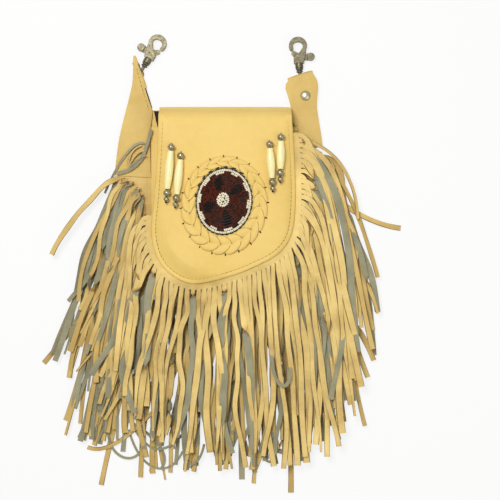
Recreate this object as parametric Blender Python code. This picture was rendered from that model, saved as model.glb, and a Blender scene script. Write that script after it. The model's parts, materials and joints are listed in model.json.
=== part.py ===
"""A fringed leather belt bag, lying on its back: metres, +Y towards the clips, +Z out of its front."""
import math
import random

import bmesh
import bpy
import numpy as np
from mathutils import Matrix, Vector

LEFT = -1
RIGHT = 1

# Fits and sheet thicknesses
GAP = 0.0003
LEATHER = 0.0016
LINING = 0.0005
FRINGE_THICK = 0.0008
TAPE_THICK = 0.0005

# Pouch: a U outline, straight at the sides and round at the bottom
POUCH_HALF_WIDTH = 0.0735
POUCH_MOUTH = 0.069
POUCH_SIDE_END = -0.030
POUCH_BOTTOM = -0.094
POUCH_DEPTH = 0.016
BACK_TOP = 0.086
SEAM = 0.005
WALL_RUN = 0.018
LIP_HEIGHT = 0.0110
LIP_RUN = 0.011
POCKET_MOUTH = 0.055
POCKET_DEPTH = 0.005


def beside(side, places):
    """Points given by their distance outside the pouch's side seam and their height up the bag."""
    return [(side * (POUCH_HALF_WIDTH + out), y) for out, y in places]


# Seam stack, from the floor up
FRINGE_REAR_Z = LEATHER + GAP
FRINGE_FRONT_Z = FRINGE_REAR_Z + FRINGE_THICK + GAP
PANEL_Z = FRINGE_FRONT_Z + FRINGE_THICK + GAP
POCKET_Z = PANEL_Z + LEATHER + GAP
POCKET_CROWN = POUCH_DEPTH + POCKET_DEPTH + LEATHER

# Flap
FLAP_TOP = 0.088
FLAP_LIFT = 0.0046
FLAP_Z = POCKET_CROWN + FLAP_LIFT
FLAP_DROOP = 0.008
FLAP_DROOP_RUN = 0.016
FLAP_FOLD_RUN = 0.0095
FLAP_SEAM_Z = LEATHER + LIP_HEIGHT + GAP
FLAP_FACE = FLAP_Z + LEATHER
FLAP_SHARES = [
    (-0.878, FLAP_TOP), (-0.898, 0.045), (-0.939, 0.000), (-0.980, -0.036), (-0.905, -0.062),
    (-0.707, -0.080), (-0.395, -0.0886), (0.068, -0.0815), (0.449, -0.0705), (0.743, -0.0580),
    (0.916, -0.0390), (0.970, -0.0050), (0.952, 0.040), (0.909, FLAP_TOP)]
FLAP_OUTLINE = [(POUCH_HALF_WIDTH * share, y) for share, y in FLAP_SHARES]

# How far a cutter passes the face that it leaves through
PASS = 0.001

# Wreath and rosette, measured from the middle of the rosette
ROSETTE_CENTRE = (0.0005, -0.0070)
ROSETTE_TILT = math.radians(-8)
ROSETTE_HALF = (0.0276, 0.0331)
BACKING_THICK = 0.0014
BEAD_RISE = 0.0020
BEAD_PITCH = 0.0020
FIELD_RINGS = 8
RIM_BLOCKS = 10
BLOCK_FACETS = 4
BACKING_MARGIN = 0.0012
MIDDLE_HALF = 0.0063
MIDDLE_SHIFT = (-0.0016, 0.0020)
WREATH_CENTRE = (0.0007, -0.0110)
WREATH_HALF = (0.0430, 0.0490)
WREATH_PETALS = 20
WREATH_RELIEF = 0.0017
WREATH_CLEAR = 0.0016

# Bead strings: top and foot of each bone bead, on the flap
BONE_LENGTHS = [0.0380, 0.0348, 0.0300, 0.0280]
BONE_RADIUS = 0.0042
BONE_END_RADIUS = 0.0028
LACE_RADIUS = 0.0007
BORE_RADIUS = LACE_RADIUS + GAP
SILVER_RADIUS = 0.0037
TIP_RADIUS = 0.0027
BEAD_SIDES = 8
STRING_STARTS = [(-0.0514, 0.0500), (-0.0421, 0.0415), (0.0451, 0.0528), (0.0566, 0.0600)]
STRING_LEANS = [math.radians(-5.5), math.radians(-6.0), math.radians(4.0), math.radians(-1.0)]

# Closing snap under the rosette
SNAP_CENTRE = (0.0, -0.007)
SNAP_RADIUS = 0.006
SNAP_STUD_RADIUS = 0.0019
SNAP_BASE = 0.0009

# Zip
ZIP_Y = 0.0745
ZIP_DROP = 0.0032
TEETH_HALF = 0.0015
TEETH_GAP = 0.0006
TEETH_HEIGHT = 0.0018
TOOTH_PITCH = 0.0040
ZIP_REACH = 0.070
TAPE_INSET = 0.0017
CHAIN_REACH = 0.048
SLIDER_LENGTH = 0.0100
SLIDER_WALL = 0.0009
SLIDER_REST = -0.038
PULL_LENGTH = 0.020
PULL_WIDTH = 0.0060
PULL_THICK = 0.0012
PULL_PIN = 0.0008
PULL_EYE_HALF = 0.0012
PULL_RIM = 0.0006
SLIDER_LUG = 0.0009
LUG_HALF = 0.0016

# Tabs
TAB_LOW = 0.0012
TAB_HIGH = 0.0063
CLIP_Z = (TAB_LOW + LEATHER + TAB_HIGH) / 2
TAB_REST = FRINGE_FRONT_Z + FRINGE_THICK + GAP
RIVET_RADIUS = 0.0050
RIVET_POST = 0.0016
RIVET_DOME = 0.0022
RIVET_PLATE = 0.0006
RIGHT_TAB = beside(RIGHT, [
    (-0.0101, 0.1176), (0.0154, 0.1259), (0.0193, 0.1215), (0.0212, 0.1100), (0.0205, 0.0980),
    (0.0195, 0.0900), (0.0210, 0.0750), (0.0250, 0.0560), (0.0255, 0.0500), (0.0055, 0.0430),
    (0.0025, 0.0600), (0.0, 0.0720), (-0.0035, 0.0880), (-0.0085, 0.1000), (-0.0123, 0.1080),
    (-0.0121, 0.1140)])
RIGHT_RIVET = beside(RIGHT, [(0.0082, 0.1002)])[0]
LEFT_TAB = beside(LEFT, [
    (0.0150, 0.1395), (0.0170, 0.1310), (0.0195, 0.1200), (0.0195, 0.1070), (0.0230, 0.0950),
    (0.0295, 0.0700), (0.0325, 0.0500), (0.0330, 0.0440), (0.0045, 0.0240), (0.0030, 0.0500),
    (0.0007, 0.0700), (-0.0023, 0.0860)])
LEFT_EAR = beside(LEFT, [
    (0.0, 0.0200), (0.0045, 0.0270), (0.0295, 0.0450), (0.0265, 0.0700), (0.0210, 0.0900),
    (0.0035, 0.0900), (-0.0020, BACK_TOP)])
RIGHT_EAR = beside(RIGHT, [
    (-0.0020, 0.0840), (0.0180, 0.0850), (0.0190, 0.0700), (0.0225, 0.0520), (0.0065, 0.0450),
    (0.0, 0.0400)])

# Clips, in their own frame: +Y along the axis from the foot of the hook
HOOK_THICK = 0.0050
RING_CENTRE = 0.0180
RING_RADIUS = 0.0092
EYE_SIZE = (0.0050, 0.0039)
BOSS_RADIUS = 0.0041
BOSS_FOOT = -0.0044
GATE_PIVOT = (0.0008, 0.0049)
GATE_THICK = 0.0020
GATE_PIN = 0.0012
RUNNING = 0.0003
PIN_HEAD = 0.0004
BOSS_FLOOR = 0.0016
LEFT_CLIP = (beside(LEFT, [(0.0028, 0.1373)])[0], math.radians(-31.0), True)
RIGHT_CLIP = (beside(RIGHT, [(0.0020, 0.1325)])[0], math.radians(4.0), False)
SWIVEL_NECK = 0.0017
SWIVEL_HEAD = 0.0026
SWIVEL_HEAD_THICK = 0.0010
SWIVEL_LOOP = (0.0042, 0.0056)
SWIVEL_WIRE = 0.0012
SWIVEL_LOOP_Y = -0.0195
SLOT_HALF = SWIVEL_LOOP[0] + SWIVEL_WIRE + GAP
SLOT_REACH = SWIVEL_LOOP_Y - SWIVEL_LOOP[1] - SWIVEL_WIRE - GAP

# Fringe
STRAND_WIDTH = 0.0050
STRAND_STEPS = 4
HEADER = 0.0050
LEVEL_STEP = FRINGE_THICK + 2 * GAP
SETTLE_RUN = 0.020
TIP_SCATTER = 0.012
SIDE_COUNT = 13
FLAP_COUNT = 48
SIDE_INNER = 0.0004
FLAP_HEADER = 0.0055
FLAP_SETTLE_RUN = 0.055
FLAP_FRINGE_RIGHT = 0.064
FLAP_FRINGE_LEFT = -0.020
BOWL_TOP = -0.052
SEAM_STEP = 0.001
FIRST_STEP = 0.05
STRAND_SHARE = 0.80
STEP_POWER = 1.35
LEAVE_SHARE = 0.25
SWING_SHARE = 0.95
ARRIVE_SHARE = 0.45
FRINGE_FALL = 0.194
FLUNG_FAR_LEFT = (-2.53, 0.29)
FLUNG_FAR_RIGHT = (2.71, -0.33)

# Tips of each row: first, middle and last. Each is a swing to the side from the strand's root, in half widths
# of the pouch, and a depth below the pouch's foot, in falls of the longest strand.
BOTTOM_REAR_TIPS = [(-0.71, 0.83), (0, 1.00), (0.38, 0.81)]
BOTTOM_FRONT_TIPS = [(-0.38, 0.73), (0, 0.88), (0.22, 0.73)]
LEFT_REAR_TIPS = [(-0.90, 0.29), (0, 0.70), (-0.52, 0.78)]
LEFT_FRONT_TIPS = [(-0.79, 0.13), (0, 0.52), (-0.38, 0.65)]
RIGHT_REAR_TIPS = [(0.27, 0.78), (0, 0.68), (0.76, 0.29)]
RIGHT_FRONT_TIPS = [(0.19, 0.65), (0, 0.52), (0.68, 0.08)]
FLAP_TIPS = [(-0.54, 0.42), (0, 0.90), (0.90, 0.34)]
LEFT_SEAM = beside(LEFT, [
    (0.0315, 0.0390), (0.0165, 0.0260), (0.0050, 0.0120), (0.0003, 0.0000), (0.0, -0.0300),
    (-0.0030, -0.0480)])
RIGHT_SEAM = beside(RIGHT, [
    (-0.0020, -0.0450), (0.0, -0.0300), (0.0, 0.0050), (0.0026, 0.0220), (0.0110, 0.0350), (0.0245, 0.0440)])

for item in list(bpy.data.objects):
    bpy.data.objects.remove(item, do_unlink=True)


def material(name, red, green, blue, roughness, metallic=0.0):
    """A Principled material of one plain colour."""
    made = bpy.data.materials.new(name)
    made.use_nodes = True
    shader = made.node_tree.nodes["Principled BSDF"]
    shader.inputs["Base Color"].default_value = (red, green, blue, 1.0)
    shader.inputs["Roughness"].default_value = roughness
    shader.inputs["Metallic"].default_value = metallic
    made.diffuse_color = (red, green, blue, 1.0)
    return made


LEATHER_MAT = material("buckskin_leather", 0.86, 0.62, 0.25, 0.75)
CLOTH_MAT = material("black_cloth", 0.010, 0.010, 0.012, 0.90)
NICKEL_MAT = material("nickel_plate", 0.55, 0.53, 0.45, 0.28, 1.0)
BONE_MAT = material("polished_bone", 0.92, 0.82, 0.55, 0.40)
WHITE_MAT = material("white_glass_beads", 0.85, 0.80, 0.66, 0.30)
MAROON_MAT = material("maroon_glass_beads", 0.060, 0.008, 0.006, 0.25)


def finish(name, mesh_data, look, parent=None, smooth=False):
    """Link a bmesh as one named object with one material."""
    bmesh.ops.recalc_face_normals(mesh_data, faces=mesh_data.faces)
    mesh = bpy.data.meshes.new(name)
    mesh_data.to_mesh(mesh)
    mesh_data.free()
    made = bpy.data.objects.new(name, mesh)
    made.data.materials.append(look)
    bpy.context.scene.collection.objects.link(made)
    if smooth:
        mesh.shade_smooth()
        mesh.set_sharp_from_angle(angle=math.radians(40))
    if parent:
        made.parent = parent
    return made


def hang(made, parent):
    """Parent an object modelled in place, keeping it where it is."""
    made.parent = parent
    made.matrix_parent_inverse = parent.matrix_world.inverted()


def empty(name, place, turn=None):
    """An empty on a joint's axis."""
    made = bpy.data.objects.new(name, None)
    bpy.context.scene.collection.objects.link(made)
    made.matrix_world = Matrix.Translation(place) @ (turn or Matrix.Identity(4))
    bpy.context.view_layer.update()
    return made


def cut(target, cutter, operation="DIFFERENCE"):
    """Boolean a hidden tool into its target."""
    cutter.hide_render = True
    cutter.display_type = "WIRE"
    if target.parent:
        cutter.parent = target.parent
        cutter.matrix_parent_inverse = target.matrix_parent_inverse.copy()
    step = target.modifiers.new(cutter.name, "BOOLEAN")
    step.solver = "EXACT"
    step.operation = operation
    step.object = cutter


def smooth_step(value):
    """0 below 0, 1 above 1 and an S curve between, on arrays."""
    clipped = np.clip(value, 0.0, 1.0)
    return clipped * clipped * (3.0 - 2.0 * clipped)


def curve_through(points, steps):
    """An open Catmull-Rom curve through hand-placed points."""
    ends = np.array([points[0], *points, points[-1]], dtype=float)
    out = []
    for index in range(1, len(ends) - 2):
        before, start, stop, after = ends[index - 1:index + 3]
        for step in range(steps):
            t = step / steps
            out.append(0.5 * (2 * start + (stop - before) * t
                              + (2 * before - 5 * start + 4 * stop - after) * t ** 2
                              + (3 * start - before - 3 * stop + after) * t ** 3))
    out.append(ends[-1])
    return np.array(out)


def u_curve(half_width, top, side_end, bottom, count):
    """A U: down the left side, round a half ellipse and up the right side."""
    side = max(2, int(count * 0.2))
    left = [(-half_width, top + (side_end - top) * i / side) for i in range(side)]
    turns = count - 2 * side
    angles = [math.pi * i / turns for i in range(turns + 1)]
    bowl = [(-half_width * math.cos(a), side_end + (bottom - side_end) * math.sin(a)) for a in angles]
    return np.array(left + bowl + [(-x, y) for x, y in reversed(left)])


def between(name, plan, low, high, faces, look, parent=None):
    """A closed body between two height fields over one plan."""
    count = len(plan)
    points = [(p[0], p[1], z) for p, z in zip(plan, low)] + [(p[0], p[1], z) for p, z in zip(plan, high)]
    edges = {}
    for face in faces:
        for pair in zip(face, face[1:] + face[:1]):
            if pair[::-1] in edges:
                del edges[pair[::-1]]
            else:
                edges[pair] = True
    polygons = [tuple(reversed(face)) for face in faces]
    polygons += [tuple(i + count for i in face) for face in faces]
    polygons += [(a, b, b + count, a + count) for a, b in edges]
    shape = bmesh.new()
    corners = [shape.verts.new(point) for point in points]
    for polygon in polygons:
        shape.faces.new([corners[i] for i in polygon])
    return finish(name, shape, look, parent)


def domed_ring(name, rows, columns, plan, high, base, look, hinge, closed_middle=False):
    """A ring, or a disc, with a flat underside and a modelled top; plan runs row by row, outermost first."""
    shape = bmesh.new()
    top = [[shape.verts.new((*plan[r * columns + c], high[r * columns + c])) for c in range(columns)]
           for r in range(rows)]
    outer = [shape.verts.new((*plan[c], base)) for c in range(columns)]
    inner = [shape.verts.new((*plan[(rows - 1) * columns + c], base)) for c in range(columns)]
    loops = [outer] + top + ([] if closed_middle else [inner, outer])
    for lower, upper in zip(loops, loops[1:]):
        for c in range(columns):
            following = (c + 1) % columns
            shape.faces.new((lower[c], lower[following], upper[following], upper[c]))
    if closed_middle:
        shape.faces.new(top[-1])
        shape.faces.new(list(reversed(outer)))
        for vert in inner:
            shape.verts.remove(vert)
    hang(finish(name, shape, look), hinge)


def grid_faces(rows, columns, closed=False):
    """Quads between the rows of a grid, counter-clockwise for rows that step inwards."""
    faces = []
    last = columns if closed else columns - 1
    for row in range(rows - 1):
        for column in range(last):
            following = (column + 1) % columns
            here = row * columns
            above = here + columns
            faces.append((here + column, here + following, above + following, above + column))
    return faces


def prism(name, outline, low, high, look, parent=None):
    """An outline carried straight up."""
    shape = bmesh.new()
    base = [shape.verts.new((x, y, low)) for x, y in outline]
    top = [shape.verts.new((x, y, high)) for x, y in outline]
    shape.faces.new(list(reversed(base)))
    shape.faces.new(top)
    for i in range(len(outline)):
        j = (i + 1) % len(outline)
        shape.faces.new((base[i], base[j], top[j], top[i]))
    return finish(name, shape, look, parent)


def bent_plate(name, outline, low, rise, cuts, look, columns=()):
    """A leather plate cut from an outline, then raised by a function of its plan."""
    plate = prism(name, outline, low, low + LEATHER, look)
    shape = bmesh.new()
    shape.from_mesh(plate.data)
    planes = [((0, y, 0), (0, 1, 0)) for y in cuts] + [((x, 0, 0), (1, 0, 0)) for x in columns]
    for place, normal in planes:
        everything = shape.verts[:] + shape.edges[:] + shape.faces[:]
        bmesh.ops.bisect_plane(shape, geom=everything, plane_co=place, plane_no=normal, dist=0.00001)
    for vert in shape.verts:
        vert.co.z += rise(vert.co.x, vert.co.y)
    shape.to_mesh(plate.data)
    shape.free()
    return plate


def lathe(name, profile, look, sides=12, parent=None, place=(0, 0, 0), turn=None):
    """Turn a closed (radius, height) profile about Y; a radius of 0 closes on the axis."""
    shape = bmesh.new()
    rings = []
    for radius, height in profile:
        if radius == 0:
            rings.append([shape.verts.new((0, height, 0))])
            continue
        angles = [2 * math.pi * i / sides for i in range(sides)]
        rings.append([shape.verts.new((radius * math.sin(a), height, radius * math.cos(a))) for a in angles])
    loops = list(zip(rings, rings[1:]))
    if len(rings[0]) > 1:
        loops.append((rings[-1], rings[0]))
    for lower, upper in loops:
        for i in range(sides):
            j = (i + 1) % sides
            if len(lower) == 1:
                shape.faces.new((lower[0], upper[j], upper[i]))
            elif len(upper) == 1:
                shape.faces.new((lower[i], lower[j], upper[0]))
            else:
                shape.faces.new((lower[i], lower[j], upper[j], upper[i]))
    matrix = Matrix.Translation(place) @ (turn or Matrix.Identity(4))
    bmesh.ops.transform(shape, matrix=matrix, verts=shape.verts)
    return finish(name, shape, look, parent, smooth=True)


def wall_climb(inset):
    """How far a formed panel has climbed, from 0 at its seam to 1 on its crown."""
    return float(smooth_step((inset - SEAM) / WALL_RUN))


def formed_panel(name, mouth, base, crown):
    """A formed leather front: nested U curves climb from a flat seam to a flat crown."""
    columns = 25
    insets = [0.0, SEAM] + [SEAM + WALL_RUN * step / 5 for step in range(1, 6)]
    plan = []
    low = []
    for inset in insets:
        curve = u_curve(POUCH_HALF_WIDTH - inset, mouth, POUCH_SIDE_END, POUCH_BOTTOM + inset, columns - 1)
        plan += list(curve)
        low += [base + (crown - LEATHER - base) * wall_climb(inset)] * len(curve)
    size = len(plan) // len(insets)
    faces = grid_faces(len(insets), size)
    faces.append(tuple(range(size * (len(insets) - 1), size * len(insets))))
    high = [z + LEATHER for z in low]
    return between(name, plan, low, high, faces, LEATHER_MAT)


def lip_rise(x, y):
    """The back's mouth margin turns up along an arc, fading towards the side seams."""
    start = BACK_TOP - LIP_RUN
    if y <= start or abs(x) > POUCH_HALF_WIDTH:
        return 0.0
    share = min(1.0, (y - start) / LIP_RUN)
    return LIP_HEIGHT * (1 - math.cos(share * math.pi / 2)) * wall_climb(POUCH_HALF_WIDTH - abs(x))


def make_pouch():
    """Back with its ears, dark lining, front panel and the outer panel of the slip pocket."""
    curve = u_curve(POUCH_HALF_WIDTH, 0.0, POUCH_SIDE_END, POUCH_BOTTOM, 24)
    outline = list(curve) + list(reversed(RIGHT_EAR)) + list(reversed(LEFT_EAR))
    levels = [BACK_TOP - LIP_RUN * step / 4 for step in range(1, 5)]
    stops = [POUCH_HALF_WIDTH - SEAM - WALL_RUN * step / 4 for step in range(5)]
    bent_plate("back_panel", outline, 0.0, lip_rise, levels, LEATHER_MAT, stops + [-x for x in stops])
    inset = SEAM + LEATHER + GAP
    inner = u_curve(POUCH_HALF_WIDTH - inset, POUCH_MOUTH, POUCH_SIDE_END, POUCH_BOTTOM + inset, 24)
    prism("back_lining", list(inner), FRINGE_REAR_Z, FRINGE_REAR_Z + LINING, CLOTH_MAT)
    formed_panel("front_panel", POUCH_MOUTH, PANEL_Z, POUCH_DEPTH)
    formed_panel("pocket_panel", POCKET_MOUTH, POCKET_Z, POCKET_CROWN)


def flap_height(x, y):
    """Underside of the flap: flat over the crown, drooping at its seam and folding down at the top."""
    inset = edge_distance(x, y, POUCH_CURVE)
    droop = FLAP_DROOP * (1 - float(smooth_step(inset / FLAP_DROOP_RUN)))
    if y > POCKET_MOUTH:
        droop *= 1 - float(smooth_step((y - POCKET_MOUTH) / (FLAP_TOP - POCKET_MOUTH - FLAP_FOLD_RUN)))
    fold = float(smooth_step((y - FLAP_TOP + FLAP_FOLD_RUN) / FLAP_FOLD_RUN))
    return FLAP_Z - droop - (FLAP_Z - droop - FLAP_SEAM_Z) * fold


FLAP_CURVE = curve_through(FLAP_OUTLINE, 3)
POUCH_CURVE = u_curve(POUCH_HALF_WIDTH, 2 * BACK_TOP, POUCH_SIDE_END, POUCH_BOTTOM, 60)


def edge_distance(x, y, curve):
    """Distance from a point to an open polyline."""
    point = np.array((x, y))
    start = curve[:-1]
    run = curve[1:] - start
    share = np.clip(((point - start) * run).sum(1) / (run * run).sum(1), 0, 1)
    return float(np.sqrt((((start + run * share[:, None]) - point) ** 2).sum(1)).min())


def make_flap(hinge):
    """The flap: rows across it, each from its left edge to its right edge."""
    heights = [FLAP_TOP, 0.0865, 0.085, 0.0835, 0.0815, 0.079, 0.066, 0.050, 0.030, 0.005, -0.020, -0.036]
    lowest = int(np.argmin(FLAP_CURVE[:, 1]))
    left = FLAP_CURVE[:lowest + 1][::-1]
    right = FLAP_CURVE[lowest:]
    heights += [-0.048, -0.058, -0.066, -0.073, -0.079, -0.084]
    shares = [0.0, 0.06, 0.13, 0.22, 0.35, 0.5, 0.65, 0.78, 0.87, 0.94, 1.0]
    plan = []
    for y in reversed(heights):
        x_left = float(np.interp(y, left[:, 1], left[:, 0]))
        x_right = float(np.interp(y, right[:, 1], right[:, 0]))
        plan += [(x_left + (x_right - x_left) * share, y) for share in shares]
    faces = grid_faces(len(heights), len(shares))
    foot = len(plan)
    plan.append(tuple(FLAP_CURVE[lowest]))
    faces += [(foot, i + 1, i) for i in range(len(shares) - 1)]
    low = [flap_height(x, y) for x, y in plan]
    flap = between("flap", plan, low, [z + LEATHER for z in low], faces, LEATHER_MAT)
    hang(flap, hinge)


def oval(centre, half, angle, scale=1.0, grow=0.0):
    """A point on an oval, grown outwards by a margin."""
    x = (half[0] * scale + grow) * math.cos(angle)
    y = (half[1] * scale + grow) * math.sin(angle)
    turn = ROSETTE_TILT
    turned_x = x * math.cos(turn) - y * math.sin(turn)
    turned_y = x * math.sin(turn) + y * math.cos(turn)
    return (centre[0] + turned_x, centre[1] + turned_y)


def make_wreath(hinge):
    """Interlaced ring: each petal rises from under its neighbour, swirls outwards and dips under the next."""
    columns = WREATH_PETALS * 5
    rows = 4
    inner = (ROSETTE_HALF[0] + BACKING_MARGIN + WREATH_CLEAR, ROSETTE_HALF[1] + BACKING_MARGIN + WREATH_CLEAR)
    plan = []
    high = []
    for row in range(rows):
        share = row / (rows - 1)
        for column in range(columns):
            angle = 2 * math.pi * column / columns
            phase = (WREATH_PETALS * angle / (2 * math.pi) + share * 1.5) % 1.0
            scallop = 1.0 - 0.035 * abs(math.cos(math.pi * phase)) ** 3
            outside = oval(WREATH_CENTRE, WREATH_HALF, angle, scallop)
            inside = oval(ROSETTE_CENTRE, inner, angle)
            plan.append([out + (into - out) * share for out, into in zip(outside, inside)])
            braid = abs(math.sin(math.pi * phase)) * math.sin(math.pi * (0.2 + 0.6 * share))
            high.append(FLAP_FACE + GAP + LEATHER * 0.6 + WREATH_RELIEF * braid)
    domed_ring("braided_wreath", rows, columns, plan, high, FLAP_FACE + GAP, LEATHER_MAT, hinge)


def block_share(angle):
    """True where the white rim has one of its inward blocks."""
    return (angle / (2 * math.pi) * RIM_BLOCKS) % 1.0 < 0.5


def ring_body(name, rings, closed_middle, low_z, look, hinge):
    """A low bead-work body from ovals, outermost first: (share of the rosette, share at a block, height)."""
    columns = RIM_BLOCKS * BLOCK_FACETS
    plan = []
    high = []
    for plain, blocked, height in rings:
        for column in range(columns):
            angle = 2 * math.pi * (column + 0.5) / columns
            share = blocked if block_share(angle) else plain
            centre = [ROSETTE_CENTRE[axis] + MIDDLE_SHIFT[axis] * (1 - share) for axis in range(2)]
            plan.append(oval(centre, ROSETTE_HALF, angle, share))
            high.append(low_z + height)
    domed_ring(name, len(rings), columns, plan, high, low_z, look, hinge, closed_middle)


def make_rosette(hinge):
    """Dark backing, white rim with blocks, ridged dark rings and the white middle."""
    outline = []
    for step in range(72):
        angle = 2 * math.pi * step / 72
        scallop = BACKING_MARGIN * (0.6 + 0.4 * (step % 2))
        outline.append(oval(ROSETTE_CENTRE, ROSETTE_HALF, angle, 1.0, scallop))
    backing = prism("rosette_backing", outline, FLAP_FACE + GAP, FLAP_FACE + GAP + BACKING_THICK, CLOTH_MAT)
    hang(backing, hinge)
    base = FLAP_FACE + 2 * GAP + BACKING_THICK
    wide = ROSETTE_HALF[0]
    rim = 1 - BEAD_PITCH / wide
    block = 1 - 2 * BEAD_PITCH / wide
    slack = GAP / wide
    crest = 0.75 * BEAD_RISE
    crown = 1 - 0.5 * BEAD_PITCH / wide
    rings = [(1.0, 1.0, 0.4 * BEAD_RISE), (crown, crown, BEAD_RISE), (rim, block, crest)]
    ring_body("rosette_rim_beads", rings, False, base, WHITE_MAT, hinge)
    inside = block - 1.5 * slack
    middle = MIDDLE_HALF / wide
    rings = [(rim - slack, block - slack, crest), (inside, inside, crest)]
    for step in range(2 * FIELD_RINGS - 3):
        share = inside - (inside - middle) * (step + 1) / (2 * FIELD_RINGS - 1)
        rings.append((share, share, BEAD_RISE if step % 2 == 0 else 0.55 * BEAD_RISE))
    rings.append((middle + slack, middle + slack, crest))
    ring_body("rosette_field_beads", rings, False, base, MAROON_MAT, hinge)
    rings = [(middle - slack, middle - slack, crest), (0.6 * middle, 0.6 * middle, BEAD_RISE)]
    ring_body("rosette_centre_beads", rings, True, base, WHITE_MAT, hinge)


def bead_profile(radius, start):
    """A round bead with a bore, from its upper end down."""
    half = radius * 0.92
    outer = [(BORE_RADIUS + radius * 0.12, 0.0), (radius * 0.80, half * 0.4), (radius, half),
             (radius * 0.80, half * 1.6), (BORE_RADIUS + radius * 0.12, 2 * half)]
    profile = [(r, -start - h) for r, h in outer]
    return [(BORE_RADIUS, profile[0][1])] + profile + [(BORE_RADIUS, profile[-1][1])], start + 2 * half


def make_strings(hinge):
    """Four laced strings: silver bead, bone bead, silver bead and tip bead on a thin lace."""
    for number, (start, lean, long) in enumerate(zip(STRING_STARTS, STRING_LEANS, BONE_LENGTHS), 1):
        turn = Matrix.Rotation(lean, 4, "Z")
        middle_x = start[0] + math.sin(lean) * long / 2
        rest = flap_height(middle_x, start[1] - long / 2)
        place = (start[0], start[1], rest + LEATHER + GAP + BONE_RADIUS)
        profile, reach = bead_profile(SILVER_RADIUS, 0.0)
        hang(lathe(f"silver_bead_upper_{number}", profile, NICKEL_MAT, BEAD_SIDES, None, place, turn), hinge)
        foot = reach + GAP
        shape = [(BORE_RADIUS, 0.0), (BONE_END_RADIUS, 0.0), (0.5 * (BONE_END_RADIUS + BONE_RADIUS), 0.18),
                 (BONE_RADIUS, 0.5), (0.5 * (BONE_END_RADIUS + BONE_RADIUS), 0.82), (BONE_END_RADIUS, 1.0),
                 (BORE_RADIUS, 1.0)]
        profile = [(radius, -foot - share * long) for radius, share in shape]
        hang(lathe(f"bone_bead_{number}", profile, BONE_MAT, BEAD_SIDES, None, place, turn), hinge)
        profile, reach = bead_profile(SILVER_RADIUS, foot + long + GAP)
        hang(lathe(f"silver_bead_lower_{number}", profile, NICKEL_MAT, BEAD_SIDES, None, place, turn), hinge)
        profile, reach = bead_profile(TIP_RADIUS, reach + GAP)
        hang(lathe(f"tip_bead_{number}", profile, NICKEL_MAT, BEAD_SIDES, None, place, turn), hinge)
        top = 0.1 * SILVER_RADIUS
        knot = -reach - LACE_RADIUS
        lace = [(0, top), (LACE_RADIUS, top), (LACE_RADIUS, knot), (0, knot)]
        hang(lathe(f"bead_lace_{number}", lace, CLOTH_MAT, 8, None, place, turn), hinge)


def make_snap(hinge):
    """Closing snap: a stud on the pocket and its socket under the flap."""
    upright = Matrix.Rotation(math.pi / 2, 4, "X")
    place = (SNAP_CENTRE[0], SNAP_CENTRE[1], POCKET_CROWN + GAP)
    stud = [(0, 0), (SNAP_RADIUS, 0), (SNAP_RADIUS, SNAP_BASE), (SNAP_STUD_RADIUS, SNAP_BASE),
            (SNAP_STUD_RADIUS, FLAP_LIFT - SNAP_BASE), (0, FLAP_LIFT - SNAP_BASE)]
    lathe("body_snap_stud", stud, NICKEL_MAT, 16, None, place, upright)
    low = SNAP_BASE + GAP
    high = FLAP_LIFT - 2 * GAP
    bore = SNAP_STUD_RADIUS + GAP
    socket = [(bore, low), (SNAP_RADIUS, low), (SNAP_RADIUS, high), (bore, high)]
    hang(lathe("flap_snap_socket", socket, NICKEL_MAT, 16, None, place, upright), hinge)


def zip_height(x):
    """Height of the zip's tape along its length: level in the middle, down at the side seams."""
    top = POUCH_DEPTH - LEATHER - ZIP_DROP
    return PANEL_Z - 2 * GAP - TAPE_THICK + (top - PANEL_Z + GAP) * wall_climb(POUCH_HALF_WIDTH - abs(x))


def tape(name, y_low, y_high):
    """One woven tape of the zip, following the mouth."""
    stops = [POUCH_HALF_WIDTH - SEAM - WALL_RUN * step / 5 for step in range(6)]
    xs = sorted([-ZIP_REACH, ZIP_REACH, 0.0] + stops + [-x for x in stops])
    plan = [(x, y_low) for x in xs] + [(x, y_high) for x in xs]
    low = [zip_height(x) for x, _ in plan]
    between(name, plan, low, [z + TAPE_THICK for z in low], grid_faces(2, len(xs)), CLOTH_MAT)


def teeth(name, side):
    """One row of teeth on its cord, its tips towards the other row."""
    base = zip_height(0) + TAPE_THICK + GAP
    edge = ZIP_Y + side * (TEETH_GAP + TEETH_HALF)
    root = edge + side * 0.0009
    tip = ZIP_Y + side * TEETH_GAP
    outline = [(-CHAIN_REACH, root), (-CHAIN_REACH, edge)]
    count = int(2 * CHAIN_REACH / TOOTH_PITCH)
    for index in range(count):
        x = -CHAIN_REACH + (index + 0.5) * 2 * CHAIN_REACH / count
        half = TOOTH_PITCH * 0.27
        outline += [(x - half, edge), (x - half * 0.8, tip), (x + half * 0.8, tip), (x + half, edge)]
    outline += [(CHAIN_REACH, edge), (CHAIN_REACH, root)]
    prism(name, outline, base, base + TEETH_HEIGHT, CLOTH_MAT)


def box_outline(x_low, x_high, y_low, y_high):
    return [(x_low, y_low), (x_high, y_low), (x_high, y_high), (x_low, y_high)]


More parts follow.
